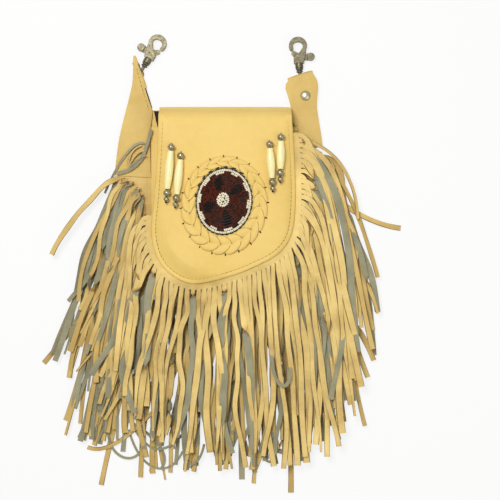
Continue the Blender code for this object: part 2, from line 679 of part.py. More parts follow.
def make_zip():
    """Black zip across the mouth, with end stops, slider and pull."""
    reach = TEETH_GAP + TEETH_HALF
    tape("zip_tape_lower", POUCH_MOUTH - 0.004, ZIP_Y - TEETH_GAP)
    tape("zip_tape_upper", ZIP_Y + TEETH_GAP, BACK_TOP - TAPE_INSET)
    teeth("zip_teeth_lower", -1)
    teeth("zip_teeth_upper", 1)
    base = zip_height(0) + TAPE_THICK + GAP
    stop_half = reach + 0.0006
    start = CHAIN_REACH + GAP
    prism("zip_end_stop", box_outline(-start - 0.0018, -start, ZIP_Y - stop_half, ZIP_Y + stop_half),
          base, base + TEETH_HEIGHT, NICKEL_MAT)
    prism("zip_top_stop", box_outline(start, start + 0.0018, ZIP_Y - stop_half, ZIP_Y + stop_half),
          base, base + TEETH_HEIGHT, NICKEL_MAT)
    half = SLIDER_LENGTH / 2
    chain = reach + 0.0009
    low = zip_height(0) - GAP - SLIDER_WALL
    lid = base + TEETH_HEIGHT + GAP
    shoulder = chain + GAP + SLIDER_WALL
    holder = empty("zip_slider_path", (SLIDER_REST, ZIP_Y, lid + SLIDER_WALL))
    top = lid - holder.location.z
    web = TEETH_GAP - GAP
    bottom = low - holder.location.z
    section = [
        (-chain, bottom), (chain, bottom), (chain, bottom + SLIDER_WALL),
        (web, bottom + SLIDER_WALL), (web, top),
        (chain + GAP, top), (chain + GAP, top - TEETH_HEIGHT), (shoulder, top - TEETH_HEIGHT),
        (shoulder, top + SLIDER_WALL), (-shoulder, top + SLIDER_WALL), (-shoulder, top - TEETH_HEIGHT),
        (-chain - GAP, top - TEETH_HEIGHT), (-chain - GAP, top), (-web, top), (-web, bottom + SLIDER_WALL),
        (-chain, bottom + SLIDER_WALL)]
    shape = bmesh.new()
    near = [shape.verts.new((-half, y, z)) for y, z in section]
    far = [shape.verts.new((half, y, z)) for y, z in section]
    shape.faces.new(near)
    shape.faces.new(list(reversed(far)))
    for i in range(len(section)):
        j = (i + 1) % len(section)
        shape.faces.new((near[i], far[i], far[j], near[j]))
    slider = finish("zip_slider", shape, NICKEL_MAT, holder)
    pin_z = 2 * (PULL_PIN + GAP)
    for side in (-1, 1):
        reach = sorted([side * (PULL_EYE_HALF + GAP), side * (PULL_EYE_HALF + GAP + SLIDER_LUG)])
        lug = prism(f"slider_lug_{side}", box_outline(-LUG_HALF, LUG_HALF, *reach),
                    -SLIDER_WALL / 2, pin_z + PULL_PIN + SLIDER_WALL / 2, NICKEL_MAT, holder)
        cut(slider, lug, "UNION")
    pin = [(0, -0.0020), (PULL_PIN, -0.0020), (PULL_PIN, 0.0020), (0, 0.0020)]
    cut(slider, lathe("slider_pin", pin, NICKEL_MAT, 12, holder, (0, 0, pin_z)), "UNION")
    make_pull(holder, pin_z)


def make_pull(holder, pin_z):
    """Pull tab of the zip: an eye on the slider's pin, a neck and a rounded grip."""
    axle = bpy.data.objects.new("zip_pull_axle", None)
    bpy.context.scene.collection.objects.link(axle)
    axle.parent = holder
    axle.location = (0, 0, pin_z)
    eye = PULL_PIN + GAP
    rim = eye + PULL_RIM
    barrel = [(eye, -PULL_EYE_HALF), (rim, -PULL_EYE_HALF), (rim, PULL_EYE_HALF), (eye, PULL_EYE_HALF)]
    pull = lathe("zip_pull", barrel, NICKEL_MAT, 12, axle)
    wide = PULL_WIDTH / 2
    neck = PULL_EYE_HALF - PULL_RIM / 6
    one_side = [(eye + PULL_RIM / 2, neck), (0.22 * PULL_LENGTH, neck), (0.33 * PULL_LENGTH, wide),
                (PULL_LENGTH - wide, wide), (PULL_LENGTH, wide / 2)]
    grip = [(x, -y) for x, y in one_side] + one_side[::-1]
    cut(pull, prism("pull_grip", grip, -PULL_THICK / 2, PULL_THICK / 2, NICKEL_MAT, axle), "UNION")


def tab(name, outline, fold_start, fold_stop, ramp, back_depth, clip):
    """A leather tab folded round a swivel eye: front layer, fold and back layer, open where the eye lies."""
    def rise(x, y):
        return (TAB_HIGH - TAB_REST) * float(smooth_step((y - ramp[0]) / (ramp[1] - ramp[0])))

    cuts = [ramp[0] + (ramp[1] - ramp[0]) * step / 5 for step in range(6)]
    sheet = bent_plate(name, outline, TAB_REST, rise, cuts, LEATHER_MAT)
    start = Vector(fold_start)
    along = (Vector(fold_stop) - start)
    length = along.length
    along.normalize()
    inward = Vector((along.y, -along.x))
    skin = 0.00005
    radius = (TAB_HIGH + LEATHER - skin - TAB_LOW) / 2
    middle = TAB_LOW + radius
    angles = [math.pi / 2 + math.pi * i / 8 for i in range(9)]
    outer = [(radius + radius * math.cos(a), middle + radius * math.sin(a)) for a in angles]
    core = radius - LEATHER + skin
    inner = [(radius + core * math.cos(a), middle + core * math.sin(a)) for a in reversed(angles)]
    section = [(radius + 0.006, TAB_HIGH + LEATHER - skin)] + outer
    section += [(back_depth, TAB_LOW), (back_depth, TAB_LOW + LEATHER)] + inner
    section += [(radius + 0.006, TAB_HIGH + skin)]
    shape = bmesh.new()
    ends = []
    for distance in (0.0, length):
        base = start + along * distance
        ends.append([shape.verts.new((*(base + inward * s), z)) for s, z in section])
    shape.faces.new(ends[0])
    shape.faces.new(list(reversed(ends[1])))
    for i in range(len(section)):
        j = (i + 1) % len(section)
        shape.faces.new((ends[0][i], ends[1][i], ends[1][j], ends[0][j]))
    fold = finish(f"{name}_fold", shape, LEATHER_MAT)
    cut(sheet, fold, "UNION")
    (x, y), lean, _ = clip
    room = box_outline(-SLOT_HALF, SLOT_HALF, SLOT_REACH, BOSS_FOOT)
    slot = prism(f"{name}_slot", room, TAB_LOW + LEATHER, TAB_HIGH, LEATHER_MAT)
    slot.matrix_world = Matrix.Translation((x, y, 0)) @ Matrix.Rotation(lean, 4, "Z")
    cut(sheet, slot)
    return sheet


def make_rivet(name, sheet, rivet):
    """A domed rivet through both layers of a tab."""
    upright = Matrix.Rotation(math.pi / 2, 4, "X")
    hole = [(0, -PASS), (RIVET_POST + GAP, -PASS), (RIVET_POST + GAP, 2 * TAB_HIGH), (0, 2 * TAB_HIGH)]
    cut(sheet, lathe(f"{name}_hole", hole, LEATHER_MAT, 12, None, (*rivet, 0), upright))
    low = TAB_LOW - GAP
    face = TAB_HIGH + LEATHER + GAP
    foot = RIVET_RADIUS * 0.8
    cap = [(0, low - RIVET_PLATE), (foot, low - RIVET_PLATE), (foot, low), (RIVET_POST, low),
           (RIVET_POST, face), (RIVET_RADIUS, face), (RIVET_RADIUS, face + RIVET_PLATE),
           (RIVET_RADIUS * 0.75, face + RIVET_DOME * 0.75), (RIVET_RADIUS * 0.4, face + RIVET_DOME * 0.95),
           (0, face + RIVET_DOME)]
    lathe(name, cap, NICKEL_MAT, 12, None, (*rivet, 0), upright)


def arc(centre, radius, start, stop, steps):
    """Points along an arc, its angles in degrees."""
    spread = [math.radians(start + (stop - start) * i / steps) for i in range(steps + 1)]
    return [(centre[0] + radius * math.cos(a), centre[1] + radius * math.sin(a)) for a in spread]


def make_clip(side, clip):
    """A swivel trigger snap: eye, hook body, sprung gate with its thumb lever, and the gate's pin."""
    (x, y), lean, turned = clip
    turn = Matrix.Rotation(lean, 4, "Z") @ Matrix.Rotation(math.pi if turned else 0.0, 4, "Y")
    axis = empty(f"{side}_clip_axis", (x, y, CLIP_Z), turn)
    half = HOOK_THICK / 2
    ring = (0.0, RING_CENTRE)
    outline = [(0.0052, 0.0), (0.0058, 0.0040), (0.0078, 0.0100)]
    outline += arc(ring, RING_RADIUS, -30, 205, 16)
    opening = arc((0, 0), 1.0, 218, -38, 12)
    outline += [(-0.0062, 0.0128), (-0.0046, 0.0142)]
    outline += [(ring[0] + EYE_SIZE[0] * px, ring[1] + EYE_SIZE[1] * py) for px, py in opening[1:]]
    outline += [(0.0020, 0.0125), (-0.0034, 0.0078), (-0.0052, 0.0060), (-0.0052, 0.0)]
    hook = prism(f"{side}_hook_body", outline, -half, half, NICKEL_MAT, axis)
    foot = [(0, BOSS_FOOT), (BOSS_RADIUS, BOSS_FOOT), (BOSS_RADIUS, 0.0006), (0, 0.0006)]
    cut(hook, lathe(f"{side}_boss", foot, NICKEL_MAT, 16, axis), "UNION")
    slot_half = GATE_THICK / 2 + RUNNING
    slot = [(-0.012, 0.0012), (0.0030, 0.0012), (0.0045, -0.0020), (0.014, -0.0060), (0.016, 0.0100),
            (0.0085, 0.0115), (0.0030, 0.0125), (-0.0038, 0.0170), (-0.0068, 0.0128), (-0.012, 0.0110)]
    cut(hook, prism(f"{side}_gate_slot", slot, -slot_half, slot_half, NICKEL_MAT, axis))
    head_low = BOSS_FOOT + BOSS_FLOOR
    neck = SWIVEL_NECK + RUNNING
    room = SWIVEL_HEAD + RUNNING
    head_room = head_low + SWIVEL_HEAD_THICK + 2 * RUNNING
    bore = [(0, BOSS_FOOT - PASS), (neck, BOSS_FOOT - PASS), (neck, head_low), (room, head_low),
            (room, head_room), (0, head_room)]
    cut(hook, lathe(f"{side}_swivel_bore", bore, NICKEL_MAT, 16, axis))
    upright = Matrix.Rotation(math.pi / 2, 4, "X")
    pin_place = (*GATE_PIVOT, 0)
    cut(hook, lathe(f"{side}_pin_hole", pin_bore(half), NICKEL_MAT, 12, axis, pin_place, upright))
    head = half + RUNNING
    wide = GATE_PIN * 1.5
    end = head + PIN_HEAD
    pin = [(0, -end), (wide, -end), (wide, -head), (GATE_PIN, -head),
           (GATE_PIN, head), (wide, head), (wide, end), (0, end)]
    lathe(f"{side}_gate_pin", pin, NICKEL_MAT, 12, axis, pin_place, upright)
    make_gate(side, axis)
    make_eye(side, axis)


def pin_bore(half):
    """Profile of the running hole for the gate's pin, right through a body of this half thickness."""
    bore = GATE_PIN + RUNNING
    return [(0, -half - PASS), (bore, -half - PASS), (bore, half + PASS), (0, half + PASS)]


def make_gate(side, axis):
    """Gate and thumb lever in one, its origin on its pin."""
    outline = [(x - GATE_PIVOT[0], y - GATE_PIVOT[1]) for x, y in (
        [(-0.0045, 0.0135), (-0.0068, 0.0118), (-0.0072, 0.0100), (-0.0046, 0.0066)]
        + arc(GATE_PIVOT, 0.0028, 200, 280, 4) + [(0.0062, 0.0030)]
        + arc((0.0122, 0.0063), 0.0037, -90, 90, 6) + [(0.0070, 0.0090), (0.0034, 0.0088)])]
    half = GATE_THICK / 2
    gate = prism(f"{side}_gate", outline, -half, half, NICKEL_MAT, axis)
    gate.location = (*GATE_PIVOT, 0)
    thumb = [(x - GATE_PIVOT[0], y - GATE_PIVOT[1]) for x, y in (
        [(0.0088, 0.0029)] + arc((0.0122, 0.0063), 0.0040, -90, 90, 8) + [(0.0088, 0.0097)])]
    pad = prism(f"{side}_thumb_pad", thumb, -0.0022, 0.0022, NICKEL_MAT, axis)
    upright = Matrix.Rotation(math.pi / 2, 4, "X")
    bore = lathe(f"{side}_gate_bore", pin_bore(half), NICKEL_MAT, 12, axis, (0, 0, 0), upright)
    cut(gate, pad, "UNION")
    cut(gate, bore)
    pad.location = gate.location
    bore.location = gate.location


def make_eye(side, axis):
    """Swivel eye: a headed post, a grooved collar and the loop that the leather holds."""
    head_low = BOSS_FOOT + BOSS_FLOOR + RUNNING
    head_top = head_low + SWIVEL_HEAD_THICK
    collar = BOSS_FOOT - RUNNING
    loop_top = SWIVEL_LOOP_Y + SWIVEL_LOOP[1]
    profile = [(0, head_top), (SWIVEL_HEAD, head_top), (SWIVEL_HEAD, head_low), (SWIVEL_NECK, head_low),
               (SWIVEL_NECK, collar), (0.0038, collar), (0.0038, collar - 0.0014), (0.0026, collar - 0.0018),
               (0.0026, collar - 0.0024), (0.0034, collar - 0.0028), (0.0034, collar - 0.0038),
               (SWIVEL_NECK, collar - 0.0046), (SWIVEL_NECK, loop_top), (0, loop_top)]
    eye = lathe(f"{side}_swivel_eye", profile, NICKEL_MAT, 12, axis)
    shape = bmesh.new()
    rings = []
    around = 14
    across = 6
    for i in range(around):
        a = 2 * math.pi * i / around
        ring = []
        for j in range(across):
            b = 2 * math.pi * j / across
            reach = SWIVEL_WIRE * math.cos(b)
            ring.append(shape.verts.new(((SWIVEL_LOOP[0] + reach) * math.cos(a),
                                         SWIVEL_LOOP_Y + (SWIVEL_LOOP[1] + reach) * math.sin(a),
                                         SWIVEL_WIRE * math.sin(b))))
        rings.append(ring)
    for i in range(around):
        after = rings[(i + 1) % around]
        for j in range(across):
            following = (j + 1) % across
            shape.faces.new((rings[i][j], after[j], after[following], rings[i][following]))
    cut(eye, finish(f"{side}_eye_loop", shape, NICKEL_MAT, axis, smooth=True), "UNION")


def tip_place(shares):
    """A tip given in half widths of the pouch and falls of the longest strand."""
    return np.array((shares[0] * POUCH_HALF_WIDTH, POUCH_BOTTOM - shares[1] * FRINGE_FALL))


def seam_frame(seam, run_along, distance):
    """The point at a distance along a seam and the direction that leaves it squarely."""
    point, ahead, behind = (
        np.array([np.interp(distance + shift, run_along, seam[:, k]) for k in (0, 1)])
        for shift in (0, SEAM_STEP, -SEAM_STEP))
    tangent = (ahead - behind) / np.linalg.norm(ahead - behind)
    return point, np.array((tangent[1], -tangent[0]))


def fringe(name, seam, count, tips, root_z, far_z, seed, levels=2, inner=SEAM - GAP, header=HEADER,
           flung=None, leave=LEAVE_SHARE, run=SETTLE_RUN, steps=STRAND_STEPS, stagger=0):
    """One cut fringe: a header sewn in the seam and strands that fan out and fall, on a few levels.

    Each strand's middle line is a cubic curve from the seam to its tip, which swings out to the side
    and arrives downwards. tips gives the first, middle and last tip. A staggered header's outer edge
    already steps from level to level.
    """
    draw = random.Random(seed)
    runs = np.sqrt((np.diff(seam, axis=0) ** 2).sum(1))
    run_along = np.concatenate([[0], np.cumsum(runs)])
    pitch = run_along[-1] / count
    width = min(STRAND_WIDTH, pitch * STRAND_SHARE)
    first_tip, middle_tip, last_tip = [tip_place(shares) for shares in tips]
    times = [FIRST_STEP] + [(step / steps) ** STEP_POWER for step in range(1, steps + 1)]
    plan = []
    low = []
    faces = []
    for index in range(count):
        middle = (index + 0.5) * pitch
        for offset in (-width / 2, width / 2):
            point, outward = seam_frame(seam, run_along, middle + offset)
            plan += [tuple(point - outward * inner), tuple(point + outward * header)]
            low += [root_z(*plan[-2]), root_z(*plan[-1]) + stagger * (index % levels) * LEVEL_STEP]
        first = len(plan) - 4
        faces.append((first + 1, first + 3, first + 2, first))
        if index:
            faces.append((row_end + 1, first + 1, first, row_end))
        row_end = first + 2
        share = index / (count - 1)
        point, outward = seam_frame(seam, run_along, middle)
        start = point + outward * header
        end = first_tip if share < 0.5 else last_tip
        hang_share = math.sin((1 - abs(2 * share - 1)) * math.pi / 2)
        tip = np.array((start[0] + first_tip[0] + (last_tip[0] - first_tip[0]) * share,
                        end[1] + (middle_tip[1] - end[1]) * hang_share))
        tip[1] += draw.uniform(-TIP_SCATTER, TIP_SCATTER)
        if flung and index in flung:
            tip = tip_place(flung[index])
        span = np.linalg.norm(tip - start)
        lead = np.array(((tip[0] - start[0]) * SWING_SHARE * abs(outward[0]), outward[1] * span * leave))
        controls = [start, start + lead, tip + np.array((0, span * ARRIVE_SHARE)), tip]
        left, right = first + 1, first + 3
        for t in times:
            weights = ((1 - t) ** 3, 3 * t * (1 - t) ** 2, 3 * t * t * (1 - t), t ** 3)
            centre = sum(w * c for w, c in zip(weights, controls))
            legs = np.diff(controls, axis=0)
            speed = 3 * (1 - t) ** 2 * legs[0] + 6 * t * (1 - t) * legs[1] + 3 * t * t * legs[2]
            speed = speed / np.linalg.norm(speed)
            if t == FIRST_STEP:
                speed = (speed + outward) / np.linalg.norm(speed + outward)
            across = np.array((-speed[1], speed[0])) * width / 2
            away = max(0.0, edge_distance(*centre, seam) - header)
            base = root_z(*start)
            height = base + (far_z - base) * float(smooth_step(away / run))
            height += (index % levels) * LEVEL_STEP
            new = len(plan)
            plan += [tuple(centre - across), tuple(centre + across)]
            low += [height, height]
            faces.append((left, new, new + 1, right))
            left, right = new, new + 1
    return between(name, plan, low, [z + FRINGE_THICK for z in low], faces, LEATHER_MAT)


def rear_level(x, y):
    return FRINGE_REAR_Z


def front_level(x, y):
    return FRINGE_FRONT_Z


def under_flap(x, y):
    return flap_height(x, y) - FRINGE_THICK - 2 * GAP


def make_fringes(hinge):
    """Two sewn rows on each side and at the bottom, and the flap's own fringe over them all."""
    bowl = u_curve(POUCH_HALF_WIDTH, 0.0, POUCH_SIDE_END, POUCH_BOTTOM, 40)
    bowl = bowl[bowl[:, 1] < BOWL_TOP]
    left = curve_through(LEFT_SEAM, 6)
    right = curve_through(RIGHT_SEAM, 6)
    floor = 0.0
    fewer = STRAND_STEPS - 1
    fringe("bottom_fringe_rear", bowl, 24, BOTTOM_REAR_TIPS, rear_level, floor, 11, steps=fewer)
    floor += 2 * LEVEL_STEP
    fringe("left_side_fringe_rear", left, SIDE_COUNT, LEFT_REAR_TIPS, rear_level, floor, 12, 3, SIDE_INNER,
           leave=0.0, steps=fewer)
    fringe("right_side_fringe_rear", right, SIDE_COUNT, RIGHT_REAR_TIPS, rear_level, floor, 13, 3, SIDE_INNER,
           leave=0.0, steps=fewer)
    floor += 3 * LEVEL_STEP
    fringe("bottom_fringe_front", bowl, 22, BOTTOM_FRONT_TIPS, front_level, floor, 14)
    floor += 2 * LEVEL_STEP
    fringe("left_side_fringe_front", left, SIDE_COUNT, LEFT_FRONT_TIPS, front_level, floor, 15, 3, SIDE_INNER,
           flung={0: FLUNG_FAR_LEFT}, leave=0.0, run=SETTLE_RUN / 2, stagger=1)
    fringe("right_side_fringe_front", right, SIDE_COUNT, RIGHT_FRONT_TIPS, front_level, floor, 16, 3,
           SIDE_INNER, flung={SIDE_COUNT - 1: FLUNG_FAR_RIGHT}, leave=0.0, stagger=1)
    floor += 3 * LEVEL_STEP
    top = np.where(FLAP_CURVE[:, 0] < 0, FLAP_FRINGE_LEFT, FLAP_FRINGE_RIGHT)
    edge = FLAP_CURVE[FLAP_CURVE[:, 1] < top]
    made = fringe("flap_fringe", edge, FLAP_COUNT, FLAP_TIPS, under_flap, floor, 17, 3, SIDE_INNER,
                  FLAP_HEADER, run=FLAP_SETTLE_RUN, stagger=1)
    hang(made, hinge)


def build():
    make_pouch()
    hinge = empty("flap_hinge", (0, FLAP_TOP, FLAP_SEAM_Z))
    make_flap(hinge)
    make_wreath(hinge)
    make_rosette(hinge)
    make_strings(hinge)
    make_snap(hinge)
    make_zip()
    folded = tab("right_tab", RIGHT_TAB, RIGHT_TAB[0], RIGHT_TAB[1], (0.086, 0.096), 0.026, RIGHT_CLIP)
    make_rivet("right_tab_rivet", folded, RIGHT_RIVET)
    tab("left_tab", LEFT_TAB, LEFT_TAB[0], (-0.0755, 0.1040), (0.090, 0.101), 0.012, LEFT_CLIP)
    make_clip("right", RIGHT_CLIP)
    make_clip("left", LEFT_CLIP)
    make_fringes(hinge)
    bpy.context.view_layer.update()


build()
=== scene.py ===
# %% [markdown]
# A fringed leather belt bag lies on its back on a pale table, seen from straight above.
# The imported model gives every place. Soft leather, beadwork and metal are modelled over it here,
# because rigid solids can't show a strand that twists or a petal that tucks under its neighbour.

# %% Frame and first helpers
import json
import math

import bmesh
import bpy
import numpy as np
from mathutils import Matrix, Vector


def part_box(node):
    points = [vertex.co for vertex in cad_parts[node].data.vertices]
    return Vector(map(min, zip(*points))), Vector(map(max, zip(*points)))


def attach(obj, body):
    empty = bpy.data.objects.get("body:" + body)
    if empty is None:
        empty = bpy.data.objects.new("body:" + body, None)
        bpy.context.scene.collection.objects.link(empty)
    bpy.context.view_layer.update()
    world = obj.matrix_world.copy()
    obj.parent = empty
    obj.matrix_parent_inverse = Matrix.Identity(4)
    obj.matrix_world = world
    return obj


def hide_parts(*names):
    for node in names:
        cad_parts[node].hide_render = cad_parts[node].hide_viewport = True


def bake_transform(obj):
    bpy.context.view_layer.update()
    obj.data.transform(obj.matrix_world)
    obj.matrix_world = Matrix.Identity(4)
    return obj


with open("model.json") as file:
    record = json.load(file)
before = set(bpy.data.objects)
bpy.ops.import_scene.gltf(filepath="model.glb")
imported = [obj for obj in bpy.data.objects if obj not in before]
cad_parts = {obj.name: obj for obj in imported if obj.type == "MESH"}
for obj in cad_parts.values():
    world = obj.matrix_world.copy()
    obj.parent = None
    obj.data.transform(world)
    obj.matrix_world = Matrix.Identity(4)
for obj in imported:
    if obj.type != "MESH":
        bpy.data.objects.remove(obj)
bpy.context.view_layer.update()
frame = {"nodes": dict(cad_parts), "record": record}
MM = 0.001
TURN = 2 * math.pi


def linear(code):
    """An sRGB hex colour as linear RGBA: each channel c becomes ((c + 0.055) / 1.055) to the power 2.4."""
    channels = np.array([int(code[i:i + 2], 16) for i in (1, 3, 5)]) / 255
    low = channels / 12.92
    high = ((channels + 0.055) / 1.055) ** 2.4
    return (*np.where(channels <= 0.04045, low, high), 1.0)


def ease(value):
    """0 below 0, 1 above 1, and 3v^2 - 2v^3 between."""
    v = np.clip(value, 0.0, 1.0)
    return v * v * (3 - 2 * v)


def unit(vectors):
    """Vectors divided by their own lengths."""
    return vectors / np.linalg.norm(vectors, axis=-1, keepdims=True)


def leftward(vectors):
    """Plan vectors after a quarter turn to the left: (x, y) becomes (-y, x)."""
    return np.stack([-vectors[..., 1], vectors[..., 0]], -1)


def run_along(line):
    """Distance along a polyline to each of its points: the running sum of its steps' lengths."""
    return np.concatenate([[0], np.cumsum(np.linalg.norm(np.diff(line, axis=0), axis=1))])


def raised(plan, height):
    """Plan points joined with their heights, as x, y and z."""
    return np.concatenate([plan, height[..., None]], -1)


def put_in_scene(name, data):
    """A new object that holds some data, linked to the scene."""
    made = bpy.data.objects.new(name, data)
    bpy.context.scene.collection.objects.link(made)
    return made


# %% [markdown]
# Every new piece is made of patches. A patch is a grid of points with one or more copies of it in front:
# the array's last three axes are rows, columns and x, y, z. One function turns such an array into quads,
# and another joins several patches into one mesh with one material slot for each finish.

# %% Patches and meshes
def quads(points, close_columns=False):
    """Corner numbers of every quad in copies of a grid; closed columns join the last one to the first."""
    rows, columns = points.shape[-3:-1]
    copies = int(np.prod(points.shape[:-3]))
    r = np.arange(rows - 1)[:, None]
    c = np.arange(columns if close_columns else columns - 1)[None, :]
    after = (c + 1) % columns
    near, far = r * columns, (r + 1) * columns
    one = np.stack([near + c, near + after, far + after, far + c], -1)
    shift = np.arange(copies)[:, None, None] * rows * columns
    return (one.reshape(1, -1, 4) + shift).reshape(-1, 4)


def ringed(points, finish=0):
    """A patch whose rows are closed rings, in one finish."""
    return points, quads(points, close_columns=True), finish


def shared_patches(points, *groups):
    """Patches that share one grid of points: each group of faces takes the next finish number."""
    flat = points.reshape(-1, 3)
    rest = [(np.zeros((0, 3)), faces - len(flat), finish) for finish, faces in enumerate(groups[1:], 1)]
    return [(flat, groups[0], 0), *rest]


def make_piece(name, patches, finishes, body, replaced=(), smooth=45, merge=0.0, values=None):
    """Join (points, faces, finish number) patches into one mesh that rides on a body."""
    points = np.concatenate([p.reshape(-1, 3) for p, _, _ in patches])
    starts = np.cumsum([0] + [p.size // 3 for p, _, _ in patches[:-1]])
    faces = [f + start for (_, f, _), start in zip(patches, starts)]
    mesh = bpy.data.meshes.new(name)
    mesh.from_pydata(points, [], [face for group in faces for face in group.tolist()])
    slots = np.concatenate([np.full(len(f), m, np.int32) for f, (_, _, m) in zip(faces, patches)])
    for look in finishes:
        mesh.materials.append(look)
    mesh.polygons.foreach_set("material_index", slots)
    for key, numbers in (values or {}).items():
        layer = mesh.attributes.new(key, "FLOAT", "POINT")
        layer.data.foreach_set("value", np.asarray(numbers, np.float32).ravel())
    made = put_in_scene(name, mesh)
    if merge:
        weld(made, merge)
    mesh.shade_smooth()
    mesh.set_sharp_from_angle(angle=math.radians(smooth))
    if body:
        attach(made, body)
    if replaced:
        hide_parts(*replaced)
    print(f"{name}: {len(mesh.polygons)} faces")
    return made


def weld(made, distance):
    """Merge the points of seams and poles that lie within a distance, and turn the faces outwards."""
    shape = bmesh.new()
    shape.from_mesh(made.data)
    bmesh.ops.remove_doubles(shape, verts=shape.verts, dist=distance)
    bmesh.ops.recalc_face_normals(shape, faces=shape.faces)
    shape.to_mesh(made.data)
    shape.free()


# %% [markdown]
# Materials are built from nodes. One small function adds a node, sets its sockets and links them,
# so that each recipe below reads as a list of what the finish is made of.

# %% Node helper
def new_look(name):
    """A material with only its Principled shader, and the node tree to build on."""
    look = bpy.data.materials.new(name)
    look.use_nodes = True
    return look, look.node_tree, look.node_tree.nodes["Principled BSDF"]


def add(tree, kind, sockets=None, **settings):
    """Add a node; a socket's value is a number, a colour or another node's output."""
    made = tree.nodes.new(kind)
    for key, value in settings.items():
        setattr(made, key, value)
    for key, value in (sockets or {}).items():
        if isinstance(value, bpy.types.NodeSocket):
            tree.links.new(value, made.inputs[key])
        else:
            made.inputs[key].default_value = value
    return made


def per_metre(size_mm):
    """A texture scale whose features repeat about every size_mm on coordinates in metres."""
    return 1.0 / (size_mm * MM)


def blend_colours(tree, share, first, second):
    """Mix two colours, each an sRGB hex code or an output, by a share."""
    mix = add(tree, "ShaderNodeMix", data_type="RGBA")
    for index, value in ((6, first), (7, second)):
        if isinstance(value, bpy.types.NodeSocket):
            tree.links.new(value, mix.inputs[index])
        else:
            mix.inputs[index].default_value = linear(value)
    tree.links.new(share, mix.inputs[0])
    return mix.outputs[2]


def noise(tree, place, size_mm, detail=3.0, roughness=0.5):
    """Fractal noise whose blotches are about size_mm across."""
    sockets = {"Vector": place, "Scale": per_metre(size_mm), "Detail": detail, "Roughness": roughness}
    return add(tree, "ShaderNodeTexNoise", sockets).outputs["Fac"]


def spread(tree, value, low, high):
    """Stretch the part of a value between low and high to 0 to 1."""
    sockets = {"Value": value, "From Min": low, "From Max": high}
    return add(tree, "ShaderNodeMapRange", sockets, clamp=True).outputs["Result"]


def times(tree, value, factor, plus=0.0):
    """A value times a factor, plus a constant or an output."""
    return add(tree, "ShaderNodeMath", {0: value, 1: factor, 2: plus}, operation="MULTIPLY_ADD").outputs[0]


def object_place(tree):
    """Object coordinates, in metres, so that a texture keeps its size and rides on its piece."""
    return add(tree, "ShaderNodeTexCoord").outputs["Object"]


def dress(tree, shader, colour, height=None, strength=0.0, depth_mm=0.0, **constants):
    """Link a shader's colour and its relief, and set constants on its sockets, underscores for spaces."""
    tree.links.new(colour, shader.inputs["Base Color"])
    if height:
        sockets = {"Height": height, "Strength": strength, "Distance": depth_mm * MM}
        bump = add(tree, "ShaderNodeBump", sockets)
        tree.links.new(bump.outputs["Normal"], shader.inputs["Normal"])
    for key, value in constants.items():
        shader.inputs[key.replace("_", " ")].default_value = value


# %% [markdown]
# The bag is soft chrome-tanned cowhide, drum-dyed the golden colour of buckskin and left matt.
# The grain side has pores about half a millimetre apart, faint wrinkles a few millimetres long and
# cloudy changes of shade. The flesh side is undyed suede: grey-green, napped and dull.

# %% Leather
def leather(name, base, shade, light, pore_depth, rough, tinted=None):
    """Grain leather: clouds of shade, pressed pores and fine wrinkles on Object coordinates."""
    look, tree, shader = new_look(name)
    place = object_place(tree)
    clouds = spread(tree, noise(tree, place, 46, 4.0, 0.55), 0.32, 0.70)
    mottling = spread(tree, noise(tree, place, 7, 3.0, 0.6), 0.35, 0.75)
    colour = blend_colours(tree, clouds, shade, base)
    colour = blend_colours(tree, times(tree, mottling, 0.35), colour, light)
    # An attribute, where given, mixes each point towards the shade colour: its own random tone, and for the
    # fringe's lower rows also painted shade.
    if tinted:
        own = add(tree, "ShaderNodeAttribute", attribute_name=tinted).outputs["Fac"]
        colour = blend_colours(tree, times(tree, own, 0.75), colour, shade)
    pores = add(tree, "ShaderNodeTexVoronoi", {"Vector": place, "Scale": per_metre(0.9)}).outputs["Distance"]
    relief = times(tree, pores, 0.25, plus=noise(tree, place, 3.5, 6.0, 0.65))
    tree.links.new(times(tree, mottling, 0.12, plus=rough), shader.inputs["Roughness"])
    dress(tree, shader, colour, relief, pore_depth, 0.4, Specular_IOR_Level=0.32, Sheen_Weight=0.06,
          Sheen_Roughness=0.6)
    return look


def suede(name, base, dark, light):
    """Napped flesh side: fibre clumps under a millimetre across, with broad brushed patches."""
    look, tree, shader = new_look(name)
    place = object_place(tree)
    fibre = spread(tree, noise(tree, place, 1.1, 5.0, 0.7), 0.3, 0.7)
    brushed = spread(tree, noise(tree, place, 22, 3.0, 0.5), 0.35, 0.65)
    colour = blend_colours(tree, times(tree, fibre, 0.4), blend_colours(tree, brushed, dark, base), light)
    dress(tree, shader, colour, fibre, 0.6, 0.3, Roughness=0.95, Specular_IOR_Level=0.15, Sheen_Weight=0.25,
          Sheen_Roughness=0.5)
    return look


GRAIN = leather("golden_cowhide_grain_side", "#EFCD75", "#E8C468", "#F2D484", 0.30, 0.55)
# The tabs take a darker copy of the grain leather: painted shade, for tabs that tilt away from the light.
TAB_GRAIN = leather("golden_cowhide_tabs_darkened_as_shade", "#E0C070", "#D2B063", "#E6C97C", 0.40, 0.60)
# The fringe is a lighter copy of the grain leather: painted light that makes up for the shade between
# strands. Its attribute mixes in random tone and painted shade.
STRAND_GRAIN = leather("golden_cowhide_fringe_painted_light_and_shade", "#F9DA88", "#BF9E58", "#FBE29A", 0.35, 0.60,
                       tinted="strand_tint")
SUEDE = suede("grey_suede_flesh_side", "#A29D7E", "#88846A", "#B9B596")
# The strands' cut edges: partly the raw edge's own tan, partly painted shade, darker so that each strand
# shows a dark outline.
CUT_EDGE_WITH_SHADE = suede("raw_cut_edge_darkened_as_shade", "#9C7C42", "#7E6230", "#B4945A")

# %% [markdown]
# A camera hangs straight above the bag, as the photographer's did. A long lens keeps the sides of the
# bag from showing. The picture is 500 mm wide at the height of the flap, so that a pixel is a millimetre.

